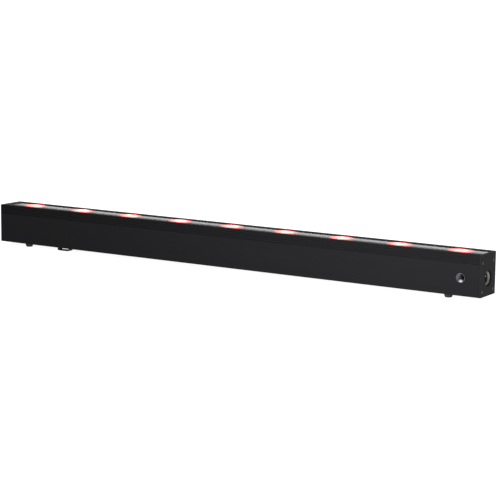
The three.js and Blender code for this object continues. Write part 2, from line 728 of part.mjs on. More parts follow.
// ---- infra-red eye: local +Z points out of the front ----
const eyeBezel = [
  [EYE_THROAT_RADIUS, EYE_BACK],
  [EYE_BARREL_RADIUS, EYE_BACK],
  [EYE_BARREL_RADIUS, GAP],
  [EYE_RIM_RADIUS, GAP],
  [EYE_RIM_RADIUS, EYE_RIM_PROUD - 0.4],
  [EYE_RIM_RADIUS - 0.3, EYE_RIM_PROUD],
  [EYE_RIM_RADIUS - 0.7, EYE_RIM_PROUD],
  [EYE_THROAT_RADIUS, EYE_BOWL_FLOOR],
  [EYE_THROAT_RADIUS, EYE_BACK],
];
const eyeLens = [
  [0, EYE_BACK + 0.2],
  [EYE_THROAT_RADIUS - GAP, EYE_BACK + 0.2],
  [EYE_THROAT_RADIUS - GAP, 0.4],
  [2.2, 1.6],
  [1.2, PROUD - 0.2],
  [0, PROUD],
];
const eye = facing([0, -1, 0], [EYE_X, -HALF_WIDTH, EYE_Z]);
addPiece(eye, 'ir_bezel', turned(eyeBezel), nickel);
addPiece(eye, 'ir_lens', turned(eyeLens, 12), smokedPlastic);
const receiver = new THREE.BoxGeometry(...RECEIVER_SIZE);
receiver.translate(0, 0, EYE_BACK - GAP - RECEIVER_SIZE[2] / 2);
addPiece(eye, 'ir_receiver', receiver, blackPlastic);

// ---- control panel: local +Z points out of the rear ----
const panelFront = GAP + PANEL_PLATE;
const panel = facing([0, 1, 0], [PANEL_X, HALF_WIDTH, REAR_CENTRE_Z]);

function buttonX(n) {
  return BUTTON_FIRST_X + n * BUTTON_PITCH;
}

function panelBezel() {
  const outline = roundedOutline(rectangle(PANEL_WIDTH, PANEL_HEIGHT), PANEL_CORNER_RADIUS);
  const plate = solid(slab(outline, GAP, panelFront));
  const plug = roundedOutline(rectangle(WINDOW_WIDTH - 2 * GAP, WINDOW_HEIGHT - 2 * GAP), 1);
  let bezel = join(plate, solid(slab(plug, PLUG_BACK, GAP + 0.2)));
  const [w, h] = [DISPLAY_WIDTH / 2, DISPLAY_HEIGHT / 2];
  bezel = cut(bezel, block([DISPLAY_X - w, -h, PLUG_BACK - 1], [DISPLAY_X + w, h, panelFront + 1]));
  for (let n = 0; n < BUTTON_COUNT; n += 1) {
    bezel = cut(bezel, bar(BUTTON_RADIUS + GAP, PLUG_BACK - 1, panelFront + 1, buttonX(n)));
  }
  return bezel;
}

const buttonProfile = [
  [0, -4.4],
  [BUTTON_RADIUS, -4.4],
  [BUTTON_RADIUS, -3.8],
  [BUTTON_RADIUS + BUTTON_COLLAR, -3.8],
  [BUTTON_RADIUS + BUTTON_COLLAR, -2.9],
  [BUTTON_RADIUS, -2.9],
  [BUTTON_RADIUS, PROUD - 0.4],
  [BUTTON_RADIUS - 0.4, PROUD],
  [0, PROUD],
];

function controlBoard() {
  const [length, height] = CONTROL_BOARD_SIZE;
  const back = BOARD_FRONT - BOARD_THICKNESS;
  let board = block([-length / 2, -height / 2, back], [length / 2, height / 2, BOARD_FRONT]);
  const [w, h] = [DISPLAY_WIDTH / 2 - 1.5, DISPLAY_HEIGHT / 2 - 1];
  board = join(board, block([DISPLAY_X - w, -h, back], [DISPLAY_X + w, h, PLUG_BACK - 0.1]));
  const half = SWITCH_SIZE / 2;
  for (let n = 0; n < BUTTON_COUNT; n += 1) {
    const low = [buttonX(n) - half, -half, back];
    board = join(board, block(low, [buttonX(n) + half, half, BOARD_FRONT + 1.3]));
  }
  return board;
}

addPiece(panel, 'control_panel', panelBezel(), blackPlastic);
const displayHole = rectangle(DISPLAY_WIDTH - 2 * GAP, DISPLAY_HEIGHT - 2 * GAP, DISPLAY_X);
const windowPane = slab(roundedOutline(displayHole, 0.5), PLUG_BACK + 0.4, panelFront - 0.2);
addPiece(panel, 'display_window', windowPane, smokedPlastic);
for (let n = 0; n < BUTTON_COUNT; n += 1) {
  const button = addPiece(panel, `button_${n + 1}`, turned(buttonProfile), blackPlastic);
  button.position.x = buttonX(n);
}
addPiece(panel, 'control_board', controlBoard(), boardGreen);

// ---- mains inlet with fuse drawer ----
const SOCKET_FLOOR = MAINS_FLANGE_PROUD - MAINS_SOCKET_DEPTH;

// The socket's opening has two cut corners, at the top.
function mainsOutline(inset, y) {
  const [w, h] = [SOCKET_WIDTH / 2 - inset, SOCKET_HEIGHT / 2 - inset];
  const corners = [[-w, -h], [w, -h], [w, h - SOCKET_CHAMFER], [w - SOCKET_CHAMFER, h]];
  const mirrored = [[-w + SOCKET_CHAMFER, h], [-w, h - SOCKET_CHAMFER]];
  return roundedOutline([...corners, ...mirrored].map(([px, py]) => [px, py + y]), 0.6);
}

function bladePlaces(y) {
  return [[-7, y - 2], [0, y + 2], [7, y - 2]];
}

// A flange on the rear face, and the box behind it that fills the cutout.
function mainsCase(flangeSize, cutout, back) {
  const outline = roundedOutline(rectangle(...flangeSize), FLANGE_CORNER_RADIUS);
  const [w, h] = cutout.map((size) => size / 2 - 0.4);
  return join(solid(slab(outline, GAP, MAINS_FLANGE_PROUD)), block([-w, -h, back], [w, h, GAP + 0.2]));
}

function inletBody() {
  const front = MAINS_FLANGE_PROUD + 1;
  const opening = solid(slab(mainsOutline(0, INLET_SOCKET_Y), SOCKET_FLOOR, front));
  const [w, h] = [DRAWER_WIDTH / 2 + GAP, DRAWER_HEIGHT / 2 + GAP];
  const low = [-w, DRAWER_DROP - h, MAINS_FLANGE_PROUD - DRAWER_DEPTH - 1];
  const drawerHole = block(low, [w, DRAWER_DROP + h, front]);
  const body = cut(mainsCase(INLET_FLANGE, INLET_CUTOUT, INLET_BACK), opening, drawerHole);
  const blades = bladePlaces(INLET_SOCKET_Y).map((place) => {
    return post(BLADE_SIZE, place, SOCKET_FLOOR - 1, SOCKET_FLOOR + BLADE_LENGTH);
  });
  return join(body, ...blades);
}

// The drawer is a tray with a front and a finger ledge; its pocket holds the fuse.
function fuseDrawer() {
  const back = MAINS_FLANGE_PROUD - DRAWER_DEPTH;
  const [w, h] = [DRAWER_WIDTH / 2, DRAWER_HEIGHT / 2];
  const tray = block([-w, DRAWER_DROP - h, back], [w, DRAWER_DROP + h, MAINS_FLANGE_PROUD]);
  const ledge = block(
    [-LEDGE_WIDTH / 2, DRAWER_DROP - h, MAINS_FLANGE_PROUD - 0.2],
    [LEDGE_WIDTH / 2, DRAWER_DROP - h + LEDGE_HEIGHT, PROUD],
  );
  const pocketBack = back + POCKET_BACK_WALL;
  const pocket = block(
    [-w - 1, DRAWER_DROP - FUSE_RADIUS - 0.5, pocketBack],
    [w + 1, DRAWER_DROP + h + 1, pocketBack + POCKET_LENGTH],
  );
  return cut(join(tray, ledge), pocket);
}

const inlet = facing([0, 1, 0], [INLET_X, HALF_WIDTH, REAR_CENTRE_Z]);
addPiece(inlet, 'power_inlet', inletBody(), blackPlastic);
addPiece(inlet, 'fuse_drawer', fuseDrawer(), blackPlastic);
const fuseRod = new THREE.CylinderGeometry(FUSE_RADIUS, FUSE_RADIUS, FUSE_LENGTH, ROUND);
const fuse = addPiece(inlet, 'fuse', fuseRod.rotateZ(Math.PI / 2), clearPlastic);
fuse.position.set(0, DRAWER_DROP, MAINS_FLANGE_PROUD - FUSE_DEPTH);

// ---- mains link-out socket ----
function outletBody() {
  const front = MAINS_FLANGE_PROUD;
  const groove = solid(slab(mainsOutline(0, 0), SOCKET_FLOOR, front + 1));
  const core = solid(slab(mainsOutline(CORE_INSET, 0), SOCKET_FLOOR - 1, front - CORE_DROP));
  const slots = bladePlaces(0).map((place) => {
    return post(CONTACT_SLOT_SIZE, place, front - CONTACT_SLOT_DEPTH, front + 1);
  });
  const body = cut(mainsCase(OUTLET_FLANGE, OUTLET_CUTOUT, OUTLET_BACK), groove);
  return cut(join(body, core), ...slots);
}

const outlet = facing([0, 1, 0], [OUTLET_X, HALF_WIDTH, REAR_CENTRE_Z]);
addPiece(outlet, 'power_outlet', outletBody(), blackPlastic);

// ---- power supply and wiring ----
const SUPPLY_BASE_Z = BASE_Z + WALL + GAP;
const supplyCase = post([SUPPLY_LENGTH, SUPPLY_WIDTH], [0, 0], 0, SUPPLY_HEIGHT);
const tabsLength = SUPPLY_LENGTH + 2 * SUPPLY_TAB;
const supplyTabs = post([tabsLength, SUPPLY_TAB_WIDTH], [0, 0], 0, SUPPLY_TAB_THICKNESS);
const supply = addPiece(batten, 'power_supply', join(supplyCase, supplyTabs), zincSteel);
supply.position.set(SUPPLY_X, 0, SUPPLY_BASE_Z);

// Loom from the supply, up through the shelf and the board, to the board's solder pads.
const loomPath = new THREE.CatmullRomCurve3([
  new THREE.Vector3(SUPPLY_X + SUPPLY_LENGTH / 2 + GAP, 0, SUPPLY_BASE_Z + LOOM_EXIT_HEIGHT),
  new THREE.Vector3(CABLE_HOLE_X - 22, 0, SUPPLY_BASE_Z + LOOM_EXIT_HEIGHT),
  new THREE.Vector3(CABLE_HOLE_X - 5, 0, CHAMBER_TOP_Z - 12),
  new THREE.Vector3(CABLE_HOLE_X, 0, CHAMBER_TOP_Z),
  new THREE.Vector3(CABLE_HOLE_X, 0, BOARD_TOP_Z + 3),
]);
const loomSection = new THREE.Shape().absarc(0, 0, LOOM_RADIUS, 0, 2 * Math.PI);
const loomSettings = { steps: 14, extrudePath: loomPath, curveSegments: 4 };
addPiece(batten, 'wiring_loom', new THREE.ExtrudeGeometry(loomSection, loomSettings), blackPlastic);

export default batten;
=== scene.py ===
"""LED strip batten: a metre-long wash bar, built piece by piece around its CAD frame.

Shapes are drawn in millimetres and scaled to metres when a piece is added.
+X runs along the bar to its data-in end, -Y is the front and +Z is up.
"""

import math

import bmesh
import bpy
from bpy.props import FloatProperty, FloatVectorProperty, IntProperty, PointerProperty
from bpy.types import Operator, Panel, PropertyGroup
from mathutils import Matrix, Vector


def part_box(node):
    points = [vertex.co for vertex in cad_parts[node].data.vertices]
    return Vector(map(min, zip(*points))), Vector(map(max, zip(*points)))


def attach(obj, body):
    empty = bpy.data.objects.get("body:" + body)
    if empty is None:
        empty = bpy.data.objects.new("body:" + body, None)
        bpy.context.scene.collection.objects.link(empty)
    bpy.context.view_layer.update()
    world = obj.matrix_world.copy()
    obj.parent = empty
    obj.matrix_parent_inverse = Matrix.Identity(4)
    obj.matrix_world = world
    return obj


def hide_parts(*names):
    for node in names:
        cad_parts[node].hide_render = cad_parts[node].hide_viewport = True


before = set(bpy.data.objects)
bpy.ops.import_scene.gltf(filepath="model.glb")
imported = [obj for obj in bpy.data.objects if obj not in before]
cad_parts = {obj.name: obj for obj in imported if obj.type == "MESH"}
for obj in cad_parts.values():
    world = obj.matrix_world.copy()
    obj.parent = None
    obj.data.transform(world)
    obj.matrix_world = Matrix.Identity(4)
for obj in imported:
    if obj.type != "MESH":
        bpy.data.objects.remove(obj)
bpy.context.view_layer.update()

bl_info = {
    "name": "LED strip batten",
    "version": (1, 0, 0),
    "blender": (4, 5, 0),
    "location": "3D View > Sidebar > Batten",
    "description": "Builds the visible pieces of an LED strip batten around its CAD frame",
    "category": "Object",
}

MM = 0.001
LED_COUNT = 9
BUTTON_COUNT = 4
CONTACT_COUNT = 3
ENDS = {"right": 1, "left": -1}
CHASSIS = "chassis"


# ---- colour ----
def from_hex(code):
    """An sRGB colour such as "#1c1c1f" as linear red, green and blue."""
    channels = [int(code[n : n + 2], 16) / 255 for n in (1, 3, 5)]
    return tuple(c / 12.92 if c <= 0.04045 else ((c + 0.055) / 1.055) ** 2.4 for c in channels)


# ---- sizes and colours that a user would change ----
def length(name, description, millimetres):
    """A length property, given in millimetres and kept in metres."""
    return FloatProperty(
        name=name, description=description, default=millimetres * MM, min=0, unit="LENGTH", precision=5
    )


def colour(name, description, code):
    """A colour property with an sRGB default."""
    return FloatVectorProperty(
        name=name, description=description, default=from_hex(code), min=0, max=1, size=3, subtype="COLOR"
    )


def radiance(name, description, default):
    """A property for how bright a lit surface is."""
    return FloatProperty(name=name, description=description, default=default, min=0)


class BattenSizes(PropertyGroup):
    """Sizes of the fine shapes"""

    fin_count: IntProperty(name="Fin grooves", description="Grooves in each side face", default=5, min=0)
    fin_pitch: length("Fin pitch", "Distance from one groove to the next", 3.5)
    groove_width: length("Groove width", "Width of each fin groove", 1.75)
    groove_depth: length("Groove depth", "Depth of each fin groove", 2.0)
    fin_radius: length("Fin edge radius", "Rounding of the fins' edges", 0.3)
    plate_edge: length("Plate edge", "Rounding of the end plates' edges", 0.35)
    lens_cell: length("Lens cell", "Distance between the pillows on a lens", 3.2)
    lens_cell_height: length("Lens cell height", "Height of the pillows on a lens", 0.35)


class BattenColours(PropertyGroup):
    """Colours of the finishes and of the light"""

    housing: colour("Housing", "Dyed anodised layer of the extrusion", "#0c0c0d")
    plate: colour("End plate", "Powder coat of the end plates", "#0d0d0e")
    plastic: colour("Plastic", "Moulded black plastic", "#161617")
    glow: colour("Light", "Colour of the light that leaves the lenses", "#ff3c32")
    glow_strength: radiance("Light strength", "Radiance at the middle of a lens", 16)
    # painted light: the clear cover gets a red glow of its own, standing in for the lenses' light spreading
    # in it
    cover_glow: colour("Cover glow", "Colour of the lenses' light in the cover", "#ff5048")
    cover_glow_strength: radiance("Haze strength", "Radiance of the haze by a lens, seen along the cover", 15)


# ---- outlines, in millimetres ----
def arc(centre, radius, start, stop, steps=4):
    """Points on an arc from one angle to another, in degrees."""
    points = []
    for n in range(steps + 1):
        turn = math.radians(start + (stop - start) * n / steps)
        points.append((centre[0] + radius * math.cos(turn), centre[1] + radius * math.sin(turn)))
    return points


def rounded(corners, radius, steps=4):
    """A closed outline with an arc at each corner; radius is one number or one for each corner."""
    radii = radius if isinstance(radius, list) else [radius] * len(corners)
    outline = []
    for n, corner in enumerate(corners):
        here = Vector(corner)
        back = (Vector(corners[n - 1]) - here).normalized()
        onward = (Vector(corners[(n + 1) % len(corners)]) - here).normalized()
        if radii[n] == 0:
            outline.append(tuple(here))
            continue
        half = back.angle(onward) / 2
        centre = here + (back + onward).normalized() * radii[n] / math.sin(half)
        spoke = here + back * radii[n] / math.tan(half) - centre
        turn = math.copysign(math.pi - 2 * half, onward.x * back.y - onward.y * back.x)
        for step in range(steps + 1):
            outline.append(tuple(centre + Matrix.Rotation(turn * step / steps, 2) @ spoke))
    return outline


def rectangle(width, height, x=0, y=0):
    """The four corners of a rectangle round a point."""
    w, h = width / 2, height / 2
    return [(x - w, y - h), (x + w, y - h), (x + w, y + h), (x - w, y + h)]


def ribbon(path, thickness):
    """The closed outline of a strip bent along a path, which runs down its middle."""
    sides = ([], [])
    for n, point in enumerate(path):
        before, after = Vector(path[max(n - 1, 0)]), Vector(path[min(n + 1, len(path) - 1)])
        along = (after - before).normalized()
        across = Vector((-along.y, along.x)) * thickness / 2
        sides[0].append(tuple(Vector(point) + across))
        sides[1].append(tuple(Vector(point) - across))
    return sides[0] + sides[1][::-1]


# ---- solids, in millimetres ----
def prism(outline, low, high, holes=()):
    """A straight solid with this outline, from low to high along its own Z, with through holes."""
    shape = bmesh.new()
    caps = ([], [])
    for loop in (outline, *holes):
        rings = [[shape.verts.new((x, y, z)) for x, y in loop] for z in (low, high)]
        for n in range(len(loop)):
            shape.faces.new((rings[0][n - 1], rings[0][n], rings[1][n], rings[1][n - 1]))
        for cap, ring in zip(caps, rings):
            cap.append(ring)
    for rings in caps:
        if len(rings) == 1:
            shape.faces.new(rings[0])
        else:
            rims = [shape.edges.get((ring[n - 1], ring[n])) for ring in rings for n in range(len(ring))]
            bmesh.ops.triangle_fill(shape, edges=rims, use_beauty=True)
    bmesh.ops.recalc_face_normals(shape, faces=shape.faces)
    return shape


def lathe(profile, sides=48):
    """A body turned about its own Z. The points are (radius, height), from axis to axis or closed."""
    shape = bmesh.new()
    rings = []
    for radius, height in profile:
        count = sides if radius > 0 else 1
        turns = [2 * math.pi * n / sides for n in range(count)]
        rings.append([shape.verts.new((radius * math.cos(t), radius * math.sin(t), height)) for t in turns])
    others = rings[1:] if profile[0][0] == 0 else rings[1:] + rings[:1]
    for ring, other in zip(rings, others):
        for n in range(sides):
            corners = [ring[n % len(ring)], ring[(n + 1) % len(ring)]]
            corners += [other[(n + 1) % len(other)], other[n % len(other)]]
            corners = list(dict.fromkeys(corners))
            if len(corners) > 2:
                shape.faces.new(corners)
    bmesh.ops.recalc_face_normals(shape, faces=shape.faces)
    return shape


def rod(radius, low, high, x=0, y=0, sides=32):
    """A plain round solid, used as a tool or as part of a piece."""
    return moved(lathe([(0, low), (radius, low), (radius, high), (0, high)], sides), (x, y, 0))


def block(low, high):
    """A plain rectangular solid between two corners, used as a tool or as part of a piece."""
    corners = [(low[0], low[1]), (high[0], low[1]), (high[0], high[1]), (low[0], high[1])]
    return prism(corners, low[2], high[2])


def moved(shape, offset):
    bmesh.ops.translate(shape, verts=shape.verts, vec=offset)
    return shape


def turned(shape, matrix):
    bmesh.ops.transform(shape, verts=shape.verts, matrix=matrix)
    return shape


def gathered(*shapes):
    """Several separate solids in one mesh."""
    total = bmesh.new()
    for shape in shapes:
        mesh = bpy.data.meshes.new("part")
        shape.to_mesh(mesh)
        shape.free()
        total.from_mesh(mesh)
        bpy.data.meshes.remove(mesh)
    return total


def as_object(shape):
    mesh = bpy.data.meshes.new("tool")
    shape.to_mesh(mesh)
    shape.free()
    made = bpy.data.objects.new("tool", mesh)
    bpy.context.scene.collection.objects.link(made)
    return made


def carved(shape, *tools, operation="DIFFERENCE"):
    """The shape with the tools cut out of it, or joined to it."""
    body, *others = [as_object(item) for item in (shape, *tools)]
    for other in others:
        step = body.modifiers.new("step", "BOOLEAN")
        step.solver = "MANIFOLD"
        step.operation = operation
        step.object = other
    bpy.context.view_layer.update()
    result = bmesh.new()
    result.from_object(body, bpy.context.evaluated_depsgraph_get())
    for item in (body, *others):
        bpy.data.meshes.remove(item.data)
    bmesh.ops.dissolve_limit(result, angle_limit=math.radians(0.5), verts=result.verts, edges=result.edges)
    return result


def joined(*shapes):
    return carved(*shapes, operation="UNION")


# ---- places ----
ALONG_BAR = Matrix(((0, 0, 1, 0), (1, 0, 0, 0), (0, 1, 0, 0), (0, 0, 0, 1)))


def facing(outward, place):
    """A place, in millimetres, whose own Z points out of a face and whose own Y points up."""
    out, up = Vector(outward), Vector((0, 0, 1))
    if abs(out.z) > 0.5:
        up = Vector((0, 1, 0))
    turn = Matrix((up.cross(out), up, out)).transposed().to_4x4()
    return Matrix.Translation(Vector(place) * MM) @ turn


def span(node):
    """A CAD node's lowest and highest corner, in millimetres."""
    low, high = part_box(node)
    return low / MM, high / MM


def middle(node):
    low, high = span(node)
    return (low + high) / 2


# ---- pieces ----
def add_piece(name, shape, finish, nodes=(), body=CHASSIS, place=None, edge=0, crease=40):
    """Adds one piece of the batten. edge is the width of its rounded edges, in millimetres."""
    mesh = bpy.data.meshes.new(name)
    bmesh.ops.scale(shape, verts=shape.verts, vec=(MM, MM, MM))
    shape.to_mesh(mesh)
    shape.free()
    mesh.shade_smooth()
    mesh.set_sharp_from_angle(angle=math.radians(crease))
    mesh.materials.append(material(finish))
    return placed(mesh, name, place, nodes, body, edge, crease)


def placed(mesh, name, place, nodes, body, edge=0, crease=40):
    """Puts a mesh somewhere, its body and the CAD nodes that it stands for."""
    piece = bpy.data.objects.new(name, mesh)
    bpy.context.scene.collection.objects.link(piece)
    piece.matrix_world = place or Matrix()
    if edge:
        soften(piece, edge, crease).harden_normals = True
    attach(piece, body)
    if nodes:
        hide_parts(*nodes)
    return piece


def soften(piece, edge, crease=40):
    """Rounds a piece's sharp edges."""
    bevel = piece.modifiers.new("rounded edges", "BEVEL")
    bevel.width = edge * MM
    bevel.segments = 2
    bevel.limit_method = "ANGLE"
    bevel.angle_limit = math.radians(crease)
    return bevel


def add_row(names, shape, finish, places, nodes=None, bodies=None, edge=0):
    """Adds copies of one piece, each at its own place, for its own CAD node and on its own body."""
    mesh = None
    for n, (name, place) in enumerate(zip(names, places)):
        stands_for = [nodes[n]] if nodes else ()
        body = bodies[n] if bodies else CHASSIS
        if mesh is None:
            mesh = add_piece(name, shape, finish, stands_for, body, place, edge).data
        else:
            placed(mesh, name, place, stands_for, body, edge)


def numbered(name, count):
    """Names that end in 1, 2 and so on."""
    return [f"{name}_{n}" for n in range(1, count + 1)]


def shifted(place, x, y):
    """A place moved along its own X and Y, in millimetres."""
    return place @ Matrix.Translation((x * MM, y * MM, 0))


def upright(x, y=0, z=0):
    """A place, in millimetres, with its own Z up."""
    return Matrix.Translation(Vector((x, y, z)) * MM)


def finish_node(name, finish, edge=0):
    """Keeps a CAD node whose shape is right and gives it a better material."""
    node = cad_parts[name]
    node.data.materials.clear()
    node.data.materials.append(material(finish))
    if edge:
        soften(node, edge)


# ---- materials ----
def add_node(tree, kind, settings=None, links=None):
    """Adds a node, sets its fields and sockets, and links its inputs from other nodes' outputs."""
    node = tree.nodes.new(kind)
    for key, value in (settings or {}).items():
        if isinstance(key, str) and hasattr(node, key):
            setattr(node, key, value)
        else:
            node.inputs[key].default_value = value
    for key, source in (links or {}).items():
        tree.links.new(source, node.inputs[key])
    return node


def new_material(name, **surface):
    """A material with one Principled shader. Words in a setting's name are joined by underscores."""
    made = bpy.data.materials.new(name)
    made.use_nodes = True
    tree = made.node_tree
    shader = tree.nodes["Principled BSDF"]
    for key, value in surface.items():
        socket = shader.inputs[key.replace("_", " ").title().replace("Ior", "IOR")]
        socket.default_value = (*value, 1) if isinstance(value, tuple) else value
    return made, tree, shader


def maths(tree, operation, *values):
    """The result of a Math node. Each value is a number or another node's output."""
    node = add_node(tree, "ShaderNodeMath", {"operation": operation})
    for socket, value in zip(node.inputs, values):
        if isinstance(value, (int, float)):
            socket.default_value = value
        else:
            tree.links.new(value, socket)
    return node.outputs[0]


def mapped(tree, value, low, high, to_low, to_high, **settings):
    """A value moved from one range to another."""
    limits = {"From Min": low, "From Max": high, "To Min": to_low, "To Max": to_high}
    return add_node(tree, "ShaderNodeMapRange", {**settings, **limits}, {"Value": value}).outputs["Result"]


def own_space(tree):
    """Coordinates in metres, in the piece's own space."""
    return add_node(tree, "ShaderNodeTexCoord").outputs["Object"]


def noise(tree, size, detail=2.0, stretch=(1, 1, 1)):
    """A grain of this size, in millimetres, laid out in the piece's own space."""
    scale = Vector(stretch) / (size * MM)
    scaled = add_node(tree, "ShaderNodeMapping", {"Scale": scale}, {"Vector": own_space(tree)})
    fields = {"Scale": 1.0, "Detail": detail}
    return add_node(tree, "ShaderNodeTexNoise", fields, {"Vector": scaled.outputs["Vector"]}).outputs["Fac"]


def bumped(tree, shader, pattern, height, strength=1.0):
    """Raises a surface where a pattern is high; the height is in millimetres."""
    fields = {"Strength": strength, "Distance": height * MM}
    bump = add_node(tree, "ShaderNodeBump", fields, {"Height": pattern})
    tree.links.new(bump.outputs["Normal"], shader.inputs["Normal"])


PATTERN_LOW, PATTERN_HIGH = 0.3, 0.7


def spread(tree, shader, pattern, base, shift, rough, height):
    """Lets a pattern vary a surface: its colour by a share, its roughness over a range, and its height."""
    ramp = add_node(tree, "ShaderNodeValToRGB", links={"Fac": pattern})
    stops = ramp.color_ramp.elements
    for stop, place, share in ((stops[0], PATTERN_LOW, 1 - shift), (stops[1], PATTERN_HIGH, 1 + shift)):
        stop.position = place
        stop.color = (*(min(c * share, 1) for c in base), 1)
    tree.links.new(ramp.outputs["Color"], shader.inputs["Base Color"])
    gloss = mapped(tree, pattern, PATTERN_LOW, PATTERN_HIGH, *rough)
    tree.links.new(gloss, shader.inputs["Roughness"])
    bumped(tree, shader, pattern, height)


def anodised_aluminium():
    """Extruded aluminium, bead blasted and dyed black: dull satin, with faint die lines along the bar."""
    made, tree, shader = new_material("Black anodised aluminium", specular_ior_level=0.02)
    lines = noise(tree, 0.9, 3.0, (0.004, 1, 1))
    both = maths(tree, "MULTIPLY_ADD", noise(tree, 0.45), 0.5, lines)
    base = tuple(bpy.context.scene.batten_colours.housing)
    spread(tree, shader, maths(tree, "MULTIPLY", both, 0.667), base, 0.12, (0.4, 0.5), 0.006)
    return made


def pass_lamps(tree, shader, tint):
    """Lets light from lamps and lit pieces straight through a clear piece, onto what it covers."""
    shadow = add_node(tree, "ShaderNodeLightPath").outputs["Is Shadow Ray"]
    clear = add_node(tree, "ShaderNodeBsdfTransparent", {"Color": (*tint, 1)}).outputs["BSDF"]
    mix_surface(tree, shadow, shader, clear)


def mix_surface(tree, share, shader, other):
    """Shows a material's own shader where the share is 0, and another where it is 1."""
    choice = add_node(tree, "ShaderNodeMixShader", links={0: share, 1: shader.outputs["BSDF"], 2: other})
    tree.links.new(choice.outputs["Shader"], tree.nodes["Material Output"].inputs["Surface"])


def glow(tree, shader, tint, strength):
    """Makes a surface give light of one colour, as strong as another node says."""
    shader.inputs["Emission Color"].default_value = (*tint, 1)
    tree.links.new(strength, shader.inputs["Emission Strength"])


GLOW_CORE = 9
GLOW_EDGE = 17.4
RIM_SHARE = 0.03
DIP_SHARE = 0.3


def lit_lens():
    """Moulded acrylic lens full of red light: white hot over the emitter, deep red at the rim."""
    colours = bpy.context.scene.batten_colours
    made, tree, shader = new_material(
        "Lit acrylic lens", base_color=from_hex("#f2e4e2"), roughness=0.12, ior=1.49
    )
    axes = add_node(tree, "ShaderNodeSeparateXYZ", links={0: own_space(tree)})
    reach = length_across(tree, axes.outputs["X"], axes.outputs["Y"])
    limits = (GLOW_CORE * MM, GLOW_EDGE * MM, 1, RIM_SHARE)
    fall = mapped(tree, reach, *limits, interpolation_type="SMOOTHSTEP")
    dip = LENS_HEIGHT * MM - bpy.context.scene.batten_sizes.lens_cell_height
    pillows = mapped(tree, axes.outputs["Z"], dip, LENS_HEIGHT * MM, DIP_SHARE, 1)
    both = maths(tree, "MULTIPLY", fall, pillows)
    glow(tree, shader, colours.glow, maths(tree, "MULTIPLY", both, colours.glow_strength))
    return made


def length_across(tree, x, y):
    """The distance from an axis, from two coordinates across it."""
    flat = add_node(tree, "ShaderNodeCombineXYZ", links={"X": x, "Y": y}).outputs["Vector"]
    return add_node(tree, "ShaderNodeVectorMath", {"operation": "LENGTH"}, {0: flat}).outputs["Value"]


# sizes of the painted glow patches in the clear cover
COVER_GLOW_REACH = 14.5
COVER_GLOW_SHIFT = 5.5
COVER_GLOW_SQUEEZE = 1.25
COVER_GLOW_POWER = 3.0


def cover_glow_patches(tree, strength):
    """Round patches of painted glow in the clear cover, one by each LED, that show only when the strip is
    looked along.
    """
    half = (middle("lens_2").x - middle("lens_1").x) * MM / 2
    axes = add_node(tree, "ShaderNodeSeparateXYZ", links={0: own_space(tree)})
    along = maths(tree, "SUBTRACT", axes.outputs["X"], COVER_GLOW_SHIFT * MM)
    across = maths(tree, "MULTIPLY", axes.outputs["Y"], COVER_GLOW_SQUEEZE)
    reach = length_across(tree, maths(tree, "WRAP", along, -half, half), across)
    steep = maths(tree, "POWER", maths(tree, "DIVIDE", reach, COVER_GLOW_REACH * MM), COVER_GLOW_POWER)
    fall = maths(tree, "EXPONENT", maths(tree, "MULTIPLY", steep, -1.0))
    slant = add_node(tree, "ShaderNodeLayerWeight", {"Blend": 0.5}).outputs["Facing"]
    both = maths(tree, "MULTIPLY", fall, maths(tree, "POWER", slant, COVER_GLOW_POWER))
    return maths(tree, "MULTIPLY", both, strength)


def see_through(name, tint, roughness, ior, *ripple):
    """A clear material with faint waves on its surface."""
    made, tree, shader = new_material(
        name, base_color=tint, roughness=roughness, ior=ior, transmission_weight=1.0
    )
    bumped(tree, shader, noise(tree, *ripple), 0.01, 0.3)
    return made, tree, shader


def clear_acrylic():
    """Extruded clear acrylic strip: a still, polished surface with faint draw waves along it.

    Patches of the lenses' red light are painted into the strip as a glow of its own, and show when the strip
    is looked along.
    """
    tint, waves = (0.98, 0.98, 0.98), (6.0, 1.0, (0.02, 1, 1))
    made, tree, shader = see_through("Clear extruded acrylic", tint, 0.02, 1.49, *waves)
    colours = bpy.context.scene.batten_colours
    # painted light: the cover glows red by each lens
    glow(tree, shader, colours.cover_glow, cover_glow_patches(tree, colours.cover_glow_strength))
    pass_lamps(tree, shader, (0.92, 0.92, 0.92))
    return made


def smoked_acrylic():
    """Dark acrylic that passes infra-red: glossy, almost black, with a deep red cast."""
    return see_through("Smoked acrylic", from_hex("#3c1416"), 0.06, 1.49, 3.0, 1.0)[0]


def fuse_glass():
    """Drawn glass tube: thin, clear and very smooth, with faint draw lines."""
    tint, lines = (0.97, 0.99, 0.98), (1.0, 1.0, (0.05, 1, 1))
    made, tree, shader = see_through("Fuse glass", tint, 0.02, 1.52, *lines)
    pass_lamps(tree, shader, (0.9, 0.92, 0.92))
    return made


def braided_sleeve():
    """Braided polyester sleeve: crossing threads, each about half a millimetre wide."""
    made, tree, shader = new_material("Braided sleeve", ior=1.57, sheen_weight=0.3)
    waves = []
    for lean in (1, -1):
        fields = {"Rotation": (0, 0, lean * math.radians(45)), "Scale": (1 / MM, 1 / MM, 1 / MM)}
        turn = add_node(tree, "ShaderNodeMapping", fields, {"Vector": own_space(tree)}).outputs["Vector"]
        waves.append(add_node(tree, "ShaderNodeTexWave", {"Scale": 0.5}, {"Vector": turn}).outputs["Fac"])
    spread(tree, shader, maths(tree, "MULTIPLY", *waves), from_hex("#202022"), 0.4, (0.55, 0.7), 0.1)
    return made


def display_segment():
    """Segment of an LED figure behind the smoked window: a red light, a little uneven."""
    made, tree, shader = new_material("Lit display segment", base_color=from_hex("#8a2018"), roughness=0.4)
    glow(tree, shader, from_hex("#ff5a48"), mapped(tree, noise(tree, 0.8), 0, 1, 5.0, 7.0))
    return made


SPECIAL = {
    "housing_anodised": anodised_aluminium,
    "lens_clear": lit_lens,
    "cover_clear": clear_acrylic,
    "smoked_plastic": smoked_acrylic,
    "fuse_glass": fuse_glass,
    "wire_sleeve": braided_sleeve,
    "display_segment": display_segment,
}

